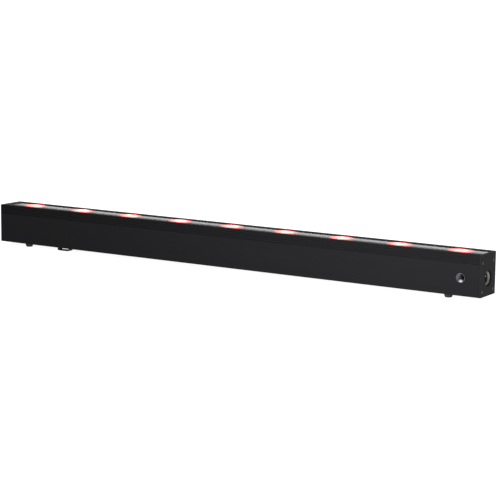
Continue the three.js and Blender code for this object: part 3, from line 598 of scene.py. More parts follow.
# Surfaces with one grain over them: the material, its colour, the grain's size in millimetres and its
# detail, how far it shifts the colour, the roughness, the grain's height in millimetres, and the rest.
METAL = {"metallic": 1.0}
GRAINED = {
    # a satin black skin with the fine orange peel that powder leaves
    "end_plate_black": (
        "Black powder-coated steel", "plate", 0.7, 3.0, 0.1, (0.4, 0.5), 0.02, {"specular_ior_level": 0.03}
    ),
    # a thin dark layer over bright metal, so it keeps a metal's glint
    "black_steel": ("Black zinc-plated steel", "#2b2b2d", 0.6, 4.0, 0.2, (0.28, 0.4), 0.004, METAL),
    # a circuit board's white skin: even, slightly glossy, faintly mottled
    "led_board_white": ("White solder mask", "#dfdfda", 1.5, 3.0, 0.04, (0.35, 0.45), 0.004, {"ior": 1.5}),
    # a soft, warm surface with a grain of yellow phosphor powder
    "emitter_phosphor": (
        "Phosphor under silicone", "#d9b64e", 0.3, 3.0, 0.12, (0.15, 0.25), 0.002, {"ior": 1.41}
    ),
    # a fine spark-eroded texture that breaks up the shine
    "black_plastic": ("Black ABS", "plastic", 0.5, 3.0, 0.12, (0.4, 0.52), 0.012, {"ior": 1.53}),
    # smoother than the panel and a little lighter
    "button_plastic": ("Satin ABS", "#232324", 0.8, 2.0, 0.1, (0.28, 0.36), 0.004, {"ior": 1.53}),
    # dull and dark, with a soft mottled bloom
    "foot_rubber": (
        "Black rubber", "#141414", 1.2, 4.0, 0.25, (0.7, 0.85), 0.02, {"ior": 1.52, "specular_ior_level": 0.3}
    ),
    # warm grey metal, satin from the tumbled casting under the plate
    "bright_nickel": ("Nickel-plated zinc", "#b5b1aa", 0.8, 3.0, 0.08, (0.22, 0.32), 0.004, METAL),
    # a darker, duller grey than bright plate
    "die_casting": ("Satin nickel die casting", "#787572", 0.6, 3.0, 0.1, (0.4, 0.5), 0.01, METAL),
    # a dark satin mirror that gives back about a tenth of the light
    "black_chrome": ("Black chrome", "#5e5e62", 0.9, 2.0, 0.06, (0.22, 0.3), 0.001, METAL),
    # a fibreglass board's green skin, slightly glossy over its tracks
    "circuit_green": ("Green solder mask", "#1c5b34", 1.0, 3.0, 0.15, (0.3, 0.42), 0.01, {"ior": 1.5}),
    # bluish grey metal with the spangle of the plate
    "zinc_steel": ("Bright zinc-plated steel", "#a9adb2", 2.5, 4.0, 0.12, (0.3, 0.42), 0.006, METAL),
}


def grained(name, shade, size, detail, shift, rough, height, surface):
    """A surface with one grain over it. The shade is an sRGB colour or the name of a colour property."""
    made, tree, shader = new_material(name, **surface)
    colours = bpy.context.scene.batten_colours
    base = from_hex(shade) if shade.startswith("#") else tuple(getattr(colours, shade))
    spread(tree, shader, noise(tree, size, detail), base, shift, rough, height)
    return made


_made = {}


def material(finish):
    """The material of a finish, made once."""
    if finish not in _made:
        _made[finish] = SPECIAL[finish]() if finish in SPECIAL else grained(*GRAINED[finish])
    return _made[finish]


# ---- housing ----
CHAMBER_WALL = 2.2
SHELF_THICKNESS = 3
RAIL_HALF_GAP = 18
RAIL_THICKNESS = 5
CHANNEL_HALF_WIDTH = 23.5
COVER_THICKNESS = 2
COVER_CROWN_HALF_WIDTH = 17.6
COVER_SLOT_DEPTH = 2.3
COVER_SLOT_SLACK = 0.15
FIRST_GROOVE_DROP = 1.8
BOARD_GAP = 0.3
PORT_RADIUS = 3.2
PORT_BORE = 1.7
PORT_RIB = 2.4
INLET_CUTOUT = (28.8, 32.8)
OUTLET_CUTOUT = (28.8, 22.8)
PANEL_CUTOUT = (96, 24)
EYE_HOLE = 6.9
BRACKET_HOLE = 5.3
LOOM_HOLE = 5
LOOM_HOLE_X = 185
STRAP_SLACK = 0.4


def housing_section(sizes):
    """The extrusion's outline across the bar, as (Y, Z) points."""
    low, high = span("housing_extrusion")
    half, top = high.y, high.z
    cover_low = span("cover_strip")[0].z
    slot_low, slot_high = cover_low - COVER_SLOT_SLACK, cover_low + COVER_THICKNESS + COVER_SLOT_SLACK
    shelf = span("led_board")[0].z - BOARD_GAP
    fin_radius = sizes.fin_radius / MM
    width, depth = sizes.groove_width / MM, sizes.groove_depth / MM
    corners = [((half, low.z), 0.9)]
    for n in reversed(range(sizes.fin_count)):
        centre = top - FIRST_GROOVE_DROP - n * sizes.fin_pitch / MM
        for y, z in ((half, -1), (half - depth, -1), (half - depth, 1), (half, 1)):
            corners.append(((y, centre + z * width / 2), fin_radius))
    corners += [((half, top), fin_radius), ((RAIL_HALF_GAP, top), fin_radius)]
    corners += [((RAIL_HALF_GAP, slot_high), 0), ((RAIL_HALF_GAP + COVER_SLOT_DEPTH, slot_high), 0)]
    corners += [((RAIL_HALF_GAP + COVER_SLOT_DEPTH, slot_low), 0), ((RAIL_HALF_GAP, slot_low), 0)]
    corners += [((RAIL_HALF_GAP, top - RAIL_THICKNESS), fin_radius)]
    corners += [((CHANNEL_HALF_WIDTH, top - RAIL_THICKNESS), 0.5), ((CHANNEL_HALF_WIDTH, shelf), 0.5)]
    corners += [((-y, z), radius) for (y, z), radius in reversed(corners)]
    return rounded([corner for corner, _ in corners], [radius for _, radius in corners], 3)


def port_places():
    """The four screw ports' centres, as (Y, Z), from the end screws of one plate."""
    return [(middle(f"end_screw_right_{n}").y, middle(f"end_screw_right_{n}").z) for n in range(1, 5)]


def rear_cutout(node, size):
    """A tool that cuts a window through the rear wall behind a fitting."""
    x, wall = middle(node).x, span("housing_extrusion")[1].y
    z = middle("control_panel").z
    width, height = size
    low = (x - width / 2, wall - CHAMBER_WALL - 1, z - height / 2)
    return block(low, (x + width / 2, wall + 1, z + height / 2))


def strap_slots():
    """Tools for the two slots that the safety strap's legs come through."""
    low, high = span("safety_loop")
    floor = span("housing_extrusion")[0].z
    tools = []
    for x in (low.x + STRAP_TAB, high.x - STRAP_TAB - STRAP_THICKNESS):
        near = (x - STRAP_SLACK, low.y - STRAP_SLACK, floor - 1)
        far = (x + STRAP_THICKNESS + STRAP_SLACK, high.y + STRAP_SLACK, floor + CHAMBER_WALL + 1)
        tools.append(block(near, far))
    return tools


class BATTEN_OT_housing(Operator):
    """Builds the finned aluminium extrusion, with its ports, slots and windows"""

    bl_idname = "batten.housing"
    bl_label = "Housing extrusion"

    def execute(self, context):
        low, high = span("housing_extrusion")
        shelf = span("led_board")[0].z - BOARD_GAP
        roof, floor = shelf - SHELF_THICKNESS, low.z + CHAMBER_WALL
        half = high.y - CHAMBER_WALL
        chamber = rounded(rectangle(2 * half, roof - floor, 0, (roof + floor) / 2), 0.9)
        body = prism(housing_section(context.scene.batten_sizes), low.x, high.x, [chamber])
        ports, bores = [], []
        for y, z in port_places():
            wall = CHANNEL_HALF_WIDTH if z > roof else half
            ports.append(rod(PORT_RADIUS, low.x, high.x, y, z))
            near, far = sorted((y, math.copysign(wall + 0.5, y)))
            ports.append(block((near, z - PORT_RIB / 2, low.x), (far, z + PORT_RIB / 2, high.x)))
            bores.append(rod(PORT_BORE, low.x - 1, high.x + 1, y, z, 20))
        body = turned(carved(joined(body, *ports), *bores), ALONG_BAR)
        eye, front = middle("ir_bezel"), facing((0, -1, 0), (0, 0, 0))
        tools = [turned(rod(EYE_HOLE, 20, high.y + 2, eye.x, eye.z), front)]
        for side in ENDS:
            x = middle(f"bracket_insert_{side}").x
            tools.append(rod(BRACKET_HOLE, low.z - 1, floor + 1, x))
        tools.append(rod(LOOM_HOLE, roof - 1, shelf + 1, LOOM_HOLE_X))
        tools += strap_slots()
        tools.append(rear_cutout("power_inlet", INLET_CUTOUT))
        tools.append(rear_cutout("power_outlet", OUTLET_CUTOUT))
        tools.append(rear_cutout("control_panel", PANEL_CUTOUT))
        body = carved(body, *tools)
        add_piece("housing", body, "housing_anodised", ["housing_extrusion"], crease=50)
        return {"FINISHED"}


# ---- end plates and screws ----
SOCKET_WINDOW = 13
SINK_RADIUS = 3.2
SINK_DEPTH = 1.5
SHANK_HOLE = 1.7
SCREW_HEAD = 2.75
SCREW_SUNK = 0.15
SCREW_SHANK = 1.4
SCREW_LENGTH = 12
CROSS_REACH = 1.6
CROSS_WIDTH = 0.62
LATCH_NOTCH = (8, 9.5, 16.5)


def end_place(end, z):
    """A place on an end plate's outer face, at a height, looking out of the end."""
    low, high = span(f"end_plate_{end}")
    x = high.x if ENDS[end] > 0 else low.x
    return facing((ENDS[end], 0, 0), (x, 0, z))


def cross_recess(depth, reach=CROSS_REACH, width=CROSS_WIDTH, top=1):
    """A tool for the cross in a screw's head, from a height down."""
    across = prism(rounded(rectangle(2 * reach, width), width / 3, 2), top - depth, top + 1)
    along = prism(rounded(rectangle(width, 2 * reach), width / 3, 2), top - depth, top + 1)
    return joined(across, along)


class BATTEN_OT_end_plates(Operator):
    """Builds the two powder-coated end plates, with their windows and countersinks"""

    bl_idname = "batten.end_plates"
    bl_label = "End plates"

    def execute(self, context):
        low, high = span("end_plate_right")
        thickness = high.x - low.x
        centre = (high.z + low.z) / 2
        drop = middle("data_in_shell").z - centre
        for end in ENDS:
            outline = rounded(rectangle(high.y - low.y, high.z - low.z), 0.9)
            plate = prism(outline, -thickness, 0)
            tools = [rod(SOCKET_WINDOW, -thickness - 1, 1, 0, drop, 64)]
            for y, z in port_places():
                sink = [(0, -thickness - 1), (SHANK_HOLE, -thickness - 1), (SHANK_HOLE, -SINK_DEPTH)]
                sink += [(SINK_RADIUS, 0), (SINK_RADIUS, 1), (0, 1)]
                tools.append(moved(lathe(sink, 32), (y, z - centre, 0)))
            plate = carved(plate, *tools)
            if end == "left":
                width, near, far = LATCH_NOTCH
                notch = block((-width / 2, drop + near, -thickness - 1), (width / 2, drop + far, 1))
                plate = carved(plate, notch)
            edge = context.scene.batten_sizes.plate_edge / MM
            add_piece(
                f"plate_{end}", plate, "end_plate_black", [f"end_plate_{end}"],
                place=end_place(end, centre), edge=edge,
            )
        return {"FINISHED"}


class BATTEN_OT_end_screws(Operator):
    """Builds the eight countersunk screws with cross recesses that hold the end plates"""

    bl_idname = "batten.end_screws"
    bl_label = "End screws"

    def execute(self, context):
        neck = SCREW_SUNK + SCREW_HEAD - SCREW_SHANK
        profile = [(0, -SCREW_LENGTH), (SCREW_SHANK - 0.4, -SCREW_LENGTH), (SCREW_SHANK, 0.8 - SCREW_LENGTH)]
        profile += [(SCREW_SHANK, -neck), (SCREW_HEAD, -SCREW_SUNK - 0.12)]
        profile += [(SCREW_HEAD - 0.12, -SCREW_SUNK), (0, -SCREW_SUNK)]
        shape = carved(lathe(profile, 32), cross_recess(1.1, top=-SCREW_SUNK))
        spots = [(end, n, y, z) for end in ENDS for n, (y, z) in enumerate(port_places(), 1)]
        names = [f"plate_screw_{end}_{n}" for end, n, _, _ in spots]
        nodes = [f"end_screw_{end}_{n}" for end, n, _, _ in spots]
        places = [shifted(end_place(end, z), y, 0) for end, _, y, z in spots]
        add_row(names, shape, "black_steel", places, nodes)
        return {"FINISHED"}


# ---- data sockets: heights run out of the end, from the plate's outer face ----
FLANGE_FRONT = -3.3
FLANGE_BACK = -5.3
FLANGE_SIZE = (27, 30.5)
LIP_FRONT = -2.1
BARREL_RADIUS = 11.4
BARREL_BACK = -23.3
IN_CAVITY = 8.2
OUT_CAVITY = 9.7
CONTACT_CIRCLE = 4.9
PIN_RADIUS = 1.2
PIN_TIP = -5.8
PIN_FACE = -17.8
NOSE_RADIUS = 7.9
NOSE_FRONT = -3.9
CONTACT_HOLE = 1.5
LATCH_WIDTH = 6
LATCH_SPAN = (10.5, 15.5)
LATCH_FRONT = -1.4
LATCH_SLACK = 0.4
LATCH_BACK = -9.3
GRIP_SHARES = (0.3, 0.5, 0.7)
GRIP_DEPTH = 0.35
GRIP_HALF_WIDTH = 0.25


def contact_places():
    """The three contacts' centres: one at the bottom and two above."""
    return arc((0, 0), CONTACT_CIRCLE, -90, 150, CONTACT_COUNT - 1)


def socket_shell(cavity):
    """The metal shell of a data socket: a flange, a barrel with a rounded lip, and a round cavity."""
    flange = prism(rounded(rectangle(*FLANGE_SIZE), 2.5), FLANGE_BACK, FLANGE_FRONT)
    profile = [(0, BARREL_BACK), (BARREL_RADIUS, BARREL_BACK)]
    profile += arc((BARREL_RADIUS - 0.5, LIP_FRONT - 0.5), 0.5, 0, 90) + [(0, LIP_FRONT)]
    rim = BARREL_RADIUS - 0.6
    mouth = [(0, BARREL_BACK - 1), (cavity, BARREL_BACK - 1), (cavity, LIP_FRONT - (rim - cavity))]
    mouth += [(rim, LIP_FRONT), (rim, 0), (0, 0)]
    return carved(joined(flange, lathe(profile, 72)), lathe(mouth, 72))


class BATTEN_OT_data_input(Operator):
    """Builds the data-in socket: shell, insert and three contact pins"""

    bl_idname = "batten.data_input"
    bl_label = "Data-in socket"

    def execute(self, context):
        place = end_place("right", middle("data_in_shell").z)
        keyway = block((-2.6, 5, -12.5), (2.6, IN_CAVITY + 1.6, -9.5))
        shell = carved(socket_shell(IN_CAVITY), keyway)
        add_piece("data_in_socket", shell, "die_casting", ["data_in_shell"], place=place, crease=35)
        back = BARREL_BACK + 0.3
        profile = [(0, back), (IN_CAVITY - 0.3, back)]
        profile += arc((IN_CAVITY - 0.7, PIN_FACE - 0.4), 0.4, 0, 90) + [(0, PIN_FACE)]
        bosses = [rod(PIN_RADIUS + 0.7, back + 1, PIN_FACE + 0.5, x, y) for x, y in contact_places()]
        insert = joined(lathe(profile), *bosses)
        add_piece("data_in_block", insert, "black_plastic", ["data_in_insert"], place=place)
        tip = arc((0, PIN_TIP - PIN_RADIUS), PIN_RADIUS, 0, 90, 6)
        pin = lathe([(0, PIN_FACE - 0.5), (PIN_RADIUS, PIN_FACE - 0.5), *tip[:-1], (0, PIN_TIP)], 24)
        places = [shifted(place, x, y) for x, y in contact_places()]
        add_row(numbered("data_in_pin", CONTACT_COUNT), pin, "bright_nickel", places)
        return {"FINISHED"}


class BATTEN_OT_data_output(Operator):
    """Builds the data-out socket: shell, insert, contact sleeves and the push latch"""

    bl_idname = "batten.data_output"
    bl_label = "Data-out socket"

    def execute(self, context):
        place = end_place("left", middle("data_out_shell").z)
        reach = LATCH_WIDTH / 2 + LATCH_SLACK
        slot = block((-reach, LATCH_SPAN[0] - LATCH_SLACK, BARREL_BACK - 1), (reach, FLANGE_SIZE[1], 0))
        shell = carved(socket_shell(OUT_CAVITY), slot)
        add_piece("data_out_socket", shell, "die_casting", ["data_out_shell"], place=place, crease=35)

        back, rim = BARREL_BACK + 0.3, OUT_CAVITY - 0.3
        profile = [(0, back), (rim, back), (rim, back + 3), (NOSE_RADIUS, back + 3)]
        profile += arc((NOSE_RADIUS - 0.6, NOSE_FRONT - 0.6), 0.6, 0, 90) + [(0, NOSE_FRONT)]
        holes = [rod(CONTACT_HOLE, -16.5, 0, x, y, 24) for x, y in contact_places()]
        key = block((-1, NOSE_RADIUS - 1.2, -14), (1, NOSE_RADIUS + 1, 0))
        insert = carved(lathe(profile), *holes, key)
        add_piece("data_out_block", insert, "black_plastic", ["data_out_insert"], place=place)

        sleeve = lathe([(1.15, -16), (1.42, -16), (1.42, -4.7), (1.3, -4.5), (1.15, -4.7)], 24)
        places = [shifted(place, x, y) for x, y in contact_places()]
        add_row(numbered("data_out_contact", CONTACT_COUNT), sleeve, "bright_nickel", places)
        self.add_latch(place)
        return {"FINISHED"}

    def add_latch(self, place):
        """The push tab above the socket: a grooved pad, and a guide that runs behind the flange."""
        low, high = LATCH_SPAN
        half = LATCH_WIDTH / 2
        outline = rounded(rectangle(LATCH_WIDTH, high - low, 0, (low + high) / 2), 0.8)
        pad = prism(outline, LATCH_BACK, LATCH_FRONT)
        web = block((-1.5, high - 3, -10), (1.5, high - 0.1, -8.3))
        guide = block((-half - 1.2, high - 1.8, -11), (half + 1.2, high, -9.2))
        grooves = []
        for share in GRIP_SHARES:
            y = low + share * (high - low)
            near = (-half - 1, y - GRIP_HALF_WIDTH, LATCH_FRONT - GRIP_DEPTH)
            grooves.append(block(near, (half + 1, y + GRIP_HALF_WIDTH, 0)))
        latch = carved(joined(pad, web, guide), *grooves)
        add_piece(
            "data_out_push_tab", latch, "bright_nickel", ["data_out_latch"],
            body="data_out_latch", place=place, edge=0.12,
        )


# ---- optics ----
LENS_RADIUS = 17.2
LENS_HEIGHT = 14.2
LENS_MOUTH = 7.4
LENS_RIM = 2
LENS_TOP_STEP = 0.45
HOLE_SIDES = 72


def lens_profile():
    """A moulded collimator: a pocket for the emitter, a flared wall and a flat rimmed top."""
    profile = [(0, 4.6), (1.6, 4.45), (2.9, 4.1), (4.2, 3.4), (5.3, 2.2), (6, 0)]
    profile += arc((LENS_MOUTH - 0.3, 0.3), 0.3, -90, 0, 3)
    steps = 10
    for n in range(1, steps + 1):
        flare = math.sin(n / steps * math.pi / 2)
        height = 0.3 + (LENS_HEIGHT - LENS_RIM - 0.3) * n / steps
        profile.append((LENS_MOUTH + (LENS_RADIUS - 1.6 - LENS_MOUTH) * flare, height))
    profile.append((LENS_RADIUS - 0.25, LENS_HEIGHT - LENS_RIM))
    profile.append((LENS_RADIUS, LENS_HEIGHT - LENS_RIM + 0.25))
    profile += arc((LENS_RADIUS - 0.4, LENS_HEIGHT - 0.4), 0.4, 0, 90, 4)
    rings = int((LENS_RADIUS - 1) / LENS_TOP_STEP)
    profile += [((LENS_RADIUS - 1) * (1 - n / rings), LENS_HEIGHT) for n in range(rings)]
    return profile + [(0, LENS_HEIGHT)]


def pillow(x, y, cell):
    """How far, from 0 to 1, a point lies from the middle of its cell in a honeycomb of round pillows."""
    row_step = cell * math.sqrt(3) / 2
    nearest = cell
    for row in range(math.floor(y / row_step), math.floor(y / row_step) + 2):
        shift = cell / 2 if row % 2 else 0
        column = round((x - shift) / cell)
        nearest = min(nearest, math.hypot(x - shift - column * cell, y - row * row_step))
    return nearest / (cell / math.sqrt(3))


class BATTEN_OT_lenses(Operator):
    """Builds the nine lit lenses, each with a honeycomb of pillows on its top"""

    bl_idname = "batten.lenses"
    bl_label = "Lenses"

    def execute(self, context):
        sizes = context.scene.batten_sizes
        cell, depth = sizes.lens_cell / MM, sizes.lens_cell_height / MM
        shape = lathe(lens_profile(), 96)
        for vert in shape.verts:
            inside = math.hypot(vert.co.x, vert.co.y) < LENS_RADIUS - 0.9
            if inside and vert.co.z > LENS_HEIGHT - 0.01:
                vert.co.z -= depth * pillow(vert.co.x, vert.co.y, cell) ** 2
        nodes = numbered("lens", LED_COUNT)
        places = [upright(middle(node).x, 0, span(node)[0].z) for node in nodes]
        add_row(numbered("collimator", LED_COUNT), shape, "lens_clear", places, nodes)
        return {"FINISHED"}


class BATTEN_OT_led_board(Operator):
    """Finishes the LED board and its emitters, and builds the black mask over them"""

    bl_idname = "batten.led_board"
    bl_label = "LED board and mask"

    def execute(self, context):
        finish_node("led_board", "led_board_white")
        for node in numbered("led_emitter", LED_COUNT):
            finish_node(node, "emitter_phosphor")
        low, high = span("lens_mask")
        outline = rounded(rectangle(high.x - low.x, high.y - low.y), 1)
        last = HOLE_SIDES - 1
        holes = []
        for node in numbered("lens", LED_COUNT):
            holes.append(arc((middle(node).x, 0), LENS_RADIUS - 0.3, 0, 360 * last / HOLE_SIDES, last))
        mask = prism(outline, low.z, high.z, holes)
        add_piece("lens_mask_strip", mask, "black_plastic", ["lens_mask"], edge=0.2)
        return {"FINISHED"}


# a thin black plate over the cover's left end, which darkens that end of the strip as painted shade
SHADE_PLATE_LENGTH = 15
SHADE_PLATE_HALF_WIDTH = 17.4
SHADE_PLATE_GAP = 0.05


class BATTEN_OT_cover(Operator):
    """Builds the clear strip over the lenses, and a thin black plate on its left end as painted shade there
    """

    bl_idname = "batten.cover"
    bl_label = "Clear cover"

    def execute(self, context):
        low, high = span("cover_strip")
        shoulder = low.z + COVER_THICKNESS
        half = [(high.y, low.z), (high.y, shoulder), (COVER_CROWN_HALF_WIDTH, shoulder)]
        half.append((COVER_CROWN_HALF_WIDTH, high.z))
        section = half + [(-y, z) for y, z in reversed(half)]
        strip = turned(prism(rounded(section, 0.15), low.x, high.x), ALONG_BAR)
        add_piece("clear_cover", strip, "cover_clear", ["cover_strip"])
        top = span("housing_extrusion")[1].z
        # painted shade: the black plate that darkens the cover's left end
        corners = rectangle(SHADE_PLATE_LENGTH, 2 * SHADE_PLATE_HALF_WIDTH, low.x + SHADE_PLATE_LENGTH / 2)
        stop = prism(rounded(corners, 1.5), high.z + SHADE_PLATE_GAP, top - SHADE_PLATE_GAP)
        add_piece("cover_stop", stop, "end_plate_black", edge=0.12)
        return {"FINISHED"}


# ---- under the bar ----
STRAP_THICKNESS = 1.3
STRAP_TAB = 9
STRAP_BEND = 2.2
THREAD_PITCH = 1.25
THREAD_DEPTH = 0.55
INSERT_BORE = 3.4
INSERT_BARREL = 5
INSERT_FLANGE = 0.7
FOOT_NAMES = ("front_left", "rear_left", "front_right", "rear_right")
FOOT_RECESS = (2.9, 2.6)
FOOT_BASE_RADIUS = 5.9
FOOT_COLLAR = 1.1


class BATTEN_OT_feet(Operator):
    """Builds the four rubber feet and the pan-head screws in them"""

    bl_idname = "batten.feet"
    bl_label = "Feet"

    def execute(self, context):
        low, high = span("foot_front_left")
        radius, height = (high.x - low.x) / 2, high.z
        recess, depth = FOOT_RECESS
        profile = [(0, depth), (recess - 0.2, depth), (recess, depth - 0.2), (recess, 0.4)]
        profile += arc((recess + 0.4, 0.4), 0.4, 180, 270, 3)
        profile += arc((FOOT_BASE_RADIUS - 0.8, 0.8), 0.8, -90, -20, 5)
        profile += [(radius, height - FOOT_COLLAR)]
        profile += arc((radius - 0.4, height - 0.4), 0.4, 0, 90, 3) + [(0, height)]
        foot = lathe(profile)
        dome = [(0, 0.9), (1.1, 0.95), (1.9, 1.2), (2.3, 1.7), (2.4, depth - 0.05), (0, depth - 0.05)]
        head = carved(lathe(dome, 32), cross_recess(2.2, 1.4, 0.5, top=2))
        nodes = [f"foot_{name}" for name in FOOT_NAMES]
        places = [upright(middle(node).x, middle(node).y) for node in nodes]
        add_row([f"rubber_{name}" for name in FOOT_NAMES], foot, "foot_rubber", places, nodes)
        add_row([f"foot_screw_{name}" for name in FOOT_NAMES], head, "zinc_steel", places)
        return {"FINISHED"}


class BATTEN_OT_safety_loop(Operator):
    """Builds the bent steel strap for a safety cable"""

    bl_idname = "batten.safety_loop"
    bl_label = "Safety loop"

    def execute(self, context):
        low, high = span("safety_loop")
        centre = (low + high) / 2
        half = (high.x - low.x) / 2
        leg = half - STRAP_TAB - STRAP_THICKNESS / 2
        bottom, top = low.z + STRAP_THICKNESS / 2, high.z - STRAP_THICKNESS / 2
        corners = [(-half, top), (-leg, top), (-leg, bottom), (leg, bottom), (leg, top), (half, top)]
        path = rounded(corners, [0, STRAP_BEND, STRAP_BEND, STRAP_BEND, STRAP_BEND, 0], 6)
        strap = prism(ribbon(path, STRAP_THICKNESS), -(high.y - low.y) / 2, (high.y - low.y) / 2)
        place = facing((0, -1, 0), (centre.x, centre.y, 0))
        add_piece("safety_strap", strap, "black_steel", ["safety_loop"], place=place, edge=0.2)
        return {"FINISHED"}


class BATTEN_OT_bracket_inserts(Operator):
    """Builds the two flanged inserts with their M8 threads"""

    bl_idname = "batten.bracket_inserts"
    bl_label = "Bracket inserts"

    def execute(self, context):
        low, high = span("bracket_insert_right")
        flange, neck = (high.x - low.x) / 2, low.z + INSERT_FLANGE
        step, sides = THREAD_PITCH / 6, 36
        profile = [(INSERT_BORE + 0.5, low.z), (flange - 0.2, low.z), (flange, low.z + 0.2), (flange, neck)]
        profile += [(INSERT_BARREL, neck), (INSERT_BARREL, high.z - 0.4), (INSERT_BARREL - 0.4, high.z)]
        count = int((high.z - low.z - 1) / step)
        profile += [(INSERT_BORE, high.z - 0.5 - n * step) for n in range(count + 1)]
        insert = lathe(profile, sides)
        for vert in insert.verts:
            if math.hypot(vert.co.x, vert.co.y) < INSERT_BORE + 0.1:
                turn = math.atan2(vert.co.y, vert.co.x) / (2 * math.pi)
                phase = (vert.co.z / THREAD_PITCH - turn) % 1
                grown = 1 + THREAD_DEPTH * (1 - abs(2 * phase - 1)) / INSERT_BORE
                vert.co.x *= grown
                vert.co.y *= grown
        nodes = [f"bracket_insert_{side}" for side in ENDS]
        places = [upright(middle(node).x) for node in nodes]
        add_row([f"threaded_insert_{side}" for side in ENDS], insert, "zinc_steel", places, nodes)
        return {"FINISHED"}


# ---- infra-red eye ----
EYE_THROAT = 2.2
EYE_BARREL = 6.6
EYE_BACK = -7
BOWL_RIM = (7.2, 1.2)
BOWL_FLOOR = -2.2
BOWL_BEND = 1.3
BOWL_STEPS = 16
EYE_LENS_BACK = -6.8
EYE_LENS_STEPS = 9


class BATTEN_OT_eye(Operator):
    """Builds the infra-red eye: a polished bowl with a small dark lens in it"""

    bl_idname = "batten.eye"
    bl_label = "Infra-red eye"

    def execute(self, context):
        centre, front = middle("ir_bezel"), span("housing_extrusion")[0].y
        place = facing((0, -1, 0), (centre.x, front, centre.z))
        low, high = span("ir_bezel")
        rim = (high.x - low.x) / 2
        radius, proud = BOWL_RIM
        profile = [(EYE_THROAT, EYE_BACK), (EYE_BARREL, EYE_BACK), (EYE_BARREL, 0.3), (rim, 0.3)]
        profile += arc((rim - 0.35, proud - 0.35), 0.35, 0, 90)
        for n in range(BOWL_STEPS + 1):
            share = 1 - n / BOWL_STEPS
            rise = (proud - BOWL_FLOOR) * share**BOWL_BEND
            profile.append((EYE_THROAT + (radius - EYE_THROAT) * share, BOWL_FLOOR + rise))
        add_piece("eye_bowl", lathe(profile, 72), "black_chrome", ["ir_bezel"], place=place, crease=50)
        tip = front - span("ir_lens")[0].y
        dome = EYE_THROAT - 0.3
        profile = [(0, EYE_LENS_BACK), (dome, EYE_LENS_BACK)]
        profile += arc((0, tip - dome), dome, 0, 90, EYE_LENS_STEPS)[:-1] + [(0, tip)]
        add_piece("eye_lens", lathe(profile), "smoked_plastic", ["ir_lens"], place=place)
        finish_node("ir_receiver", "black_plastic")
        return {"FINISHED"}


# ---- control panel: heights run out of the rear, from the housing's face ----
PANEL_BACK = -1.5
PANEL_RISE = 0.3
PANEL_FRONT = 1.5
BUTTON_RADIUS = 3.7
BUTTON_TOP = 2.4
BUTTON_BACK = -4.4
BUTTON_COLLAR = 4.6
BUTTON_DISH = 0.45
DISPLAY_SIZE = (34, 14)
FIGURE_SIZE = (5.4, 9.4)
FIGURE_PITCH = 8
SEGMENT_WIDTH = 1.1
SEGMENT_GAP = 0.2
SEGMENT_DEPTHS = (-1.58, -1.45)
PLUG_SLACK = 0.6
LINE_DEPTH = 0.25
FIGURES = ("abcdef", "abcdef", "bc")


def rear_place(x):
    """A place on the housing's rear face, level with the control panel, looking out of it."""
    z = middle("control_panel").z
    return facing((0, 1, 0), (x, span("housing_extrusion")[1].y, z))


def segment(letter):
    """The outline of one bar of a lit figure, with pointed ends. a is the top bar, then clockwise."""
    w, h = FIGURE_SIZE[0] / 2, FIGURE_SIZE[1] / 2
    places = {"a": (0, h), "b": (w, h / 2), "c": (w, -h / 2)}
    places.update({"d": (0, -h), "e": (-w, -h / 2), "f": (-w, h / 2)})
    x, y = places[letter]
    level = x == 0
    reach = (w if level else h / 2) - SEGMENT_GAP
    tip = SEGMENT_WIDTH / 2
    half = [(-reach, 0), (tip - reach, -tip), (reach - tip, -tip)]
    bar = half + [(-u, -v) for u, v in half]
    return [(x + u, y + v) for u, v in bar] if level else [(x - v, y + u) for u, v in bar]


def display_outline(grown, radius):
    """The display's outline in the panel, made wider and taller, with rounded corners."""
    x = middle("control_panel").x - middle("display_window").x
    return rounded(rectangle(DISPLAY_SIZE[0] + grown, DISPLAY_SIZE[1] + grown, x), radius)


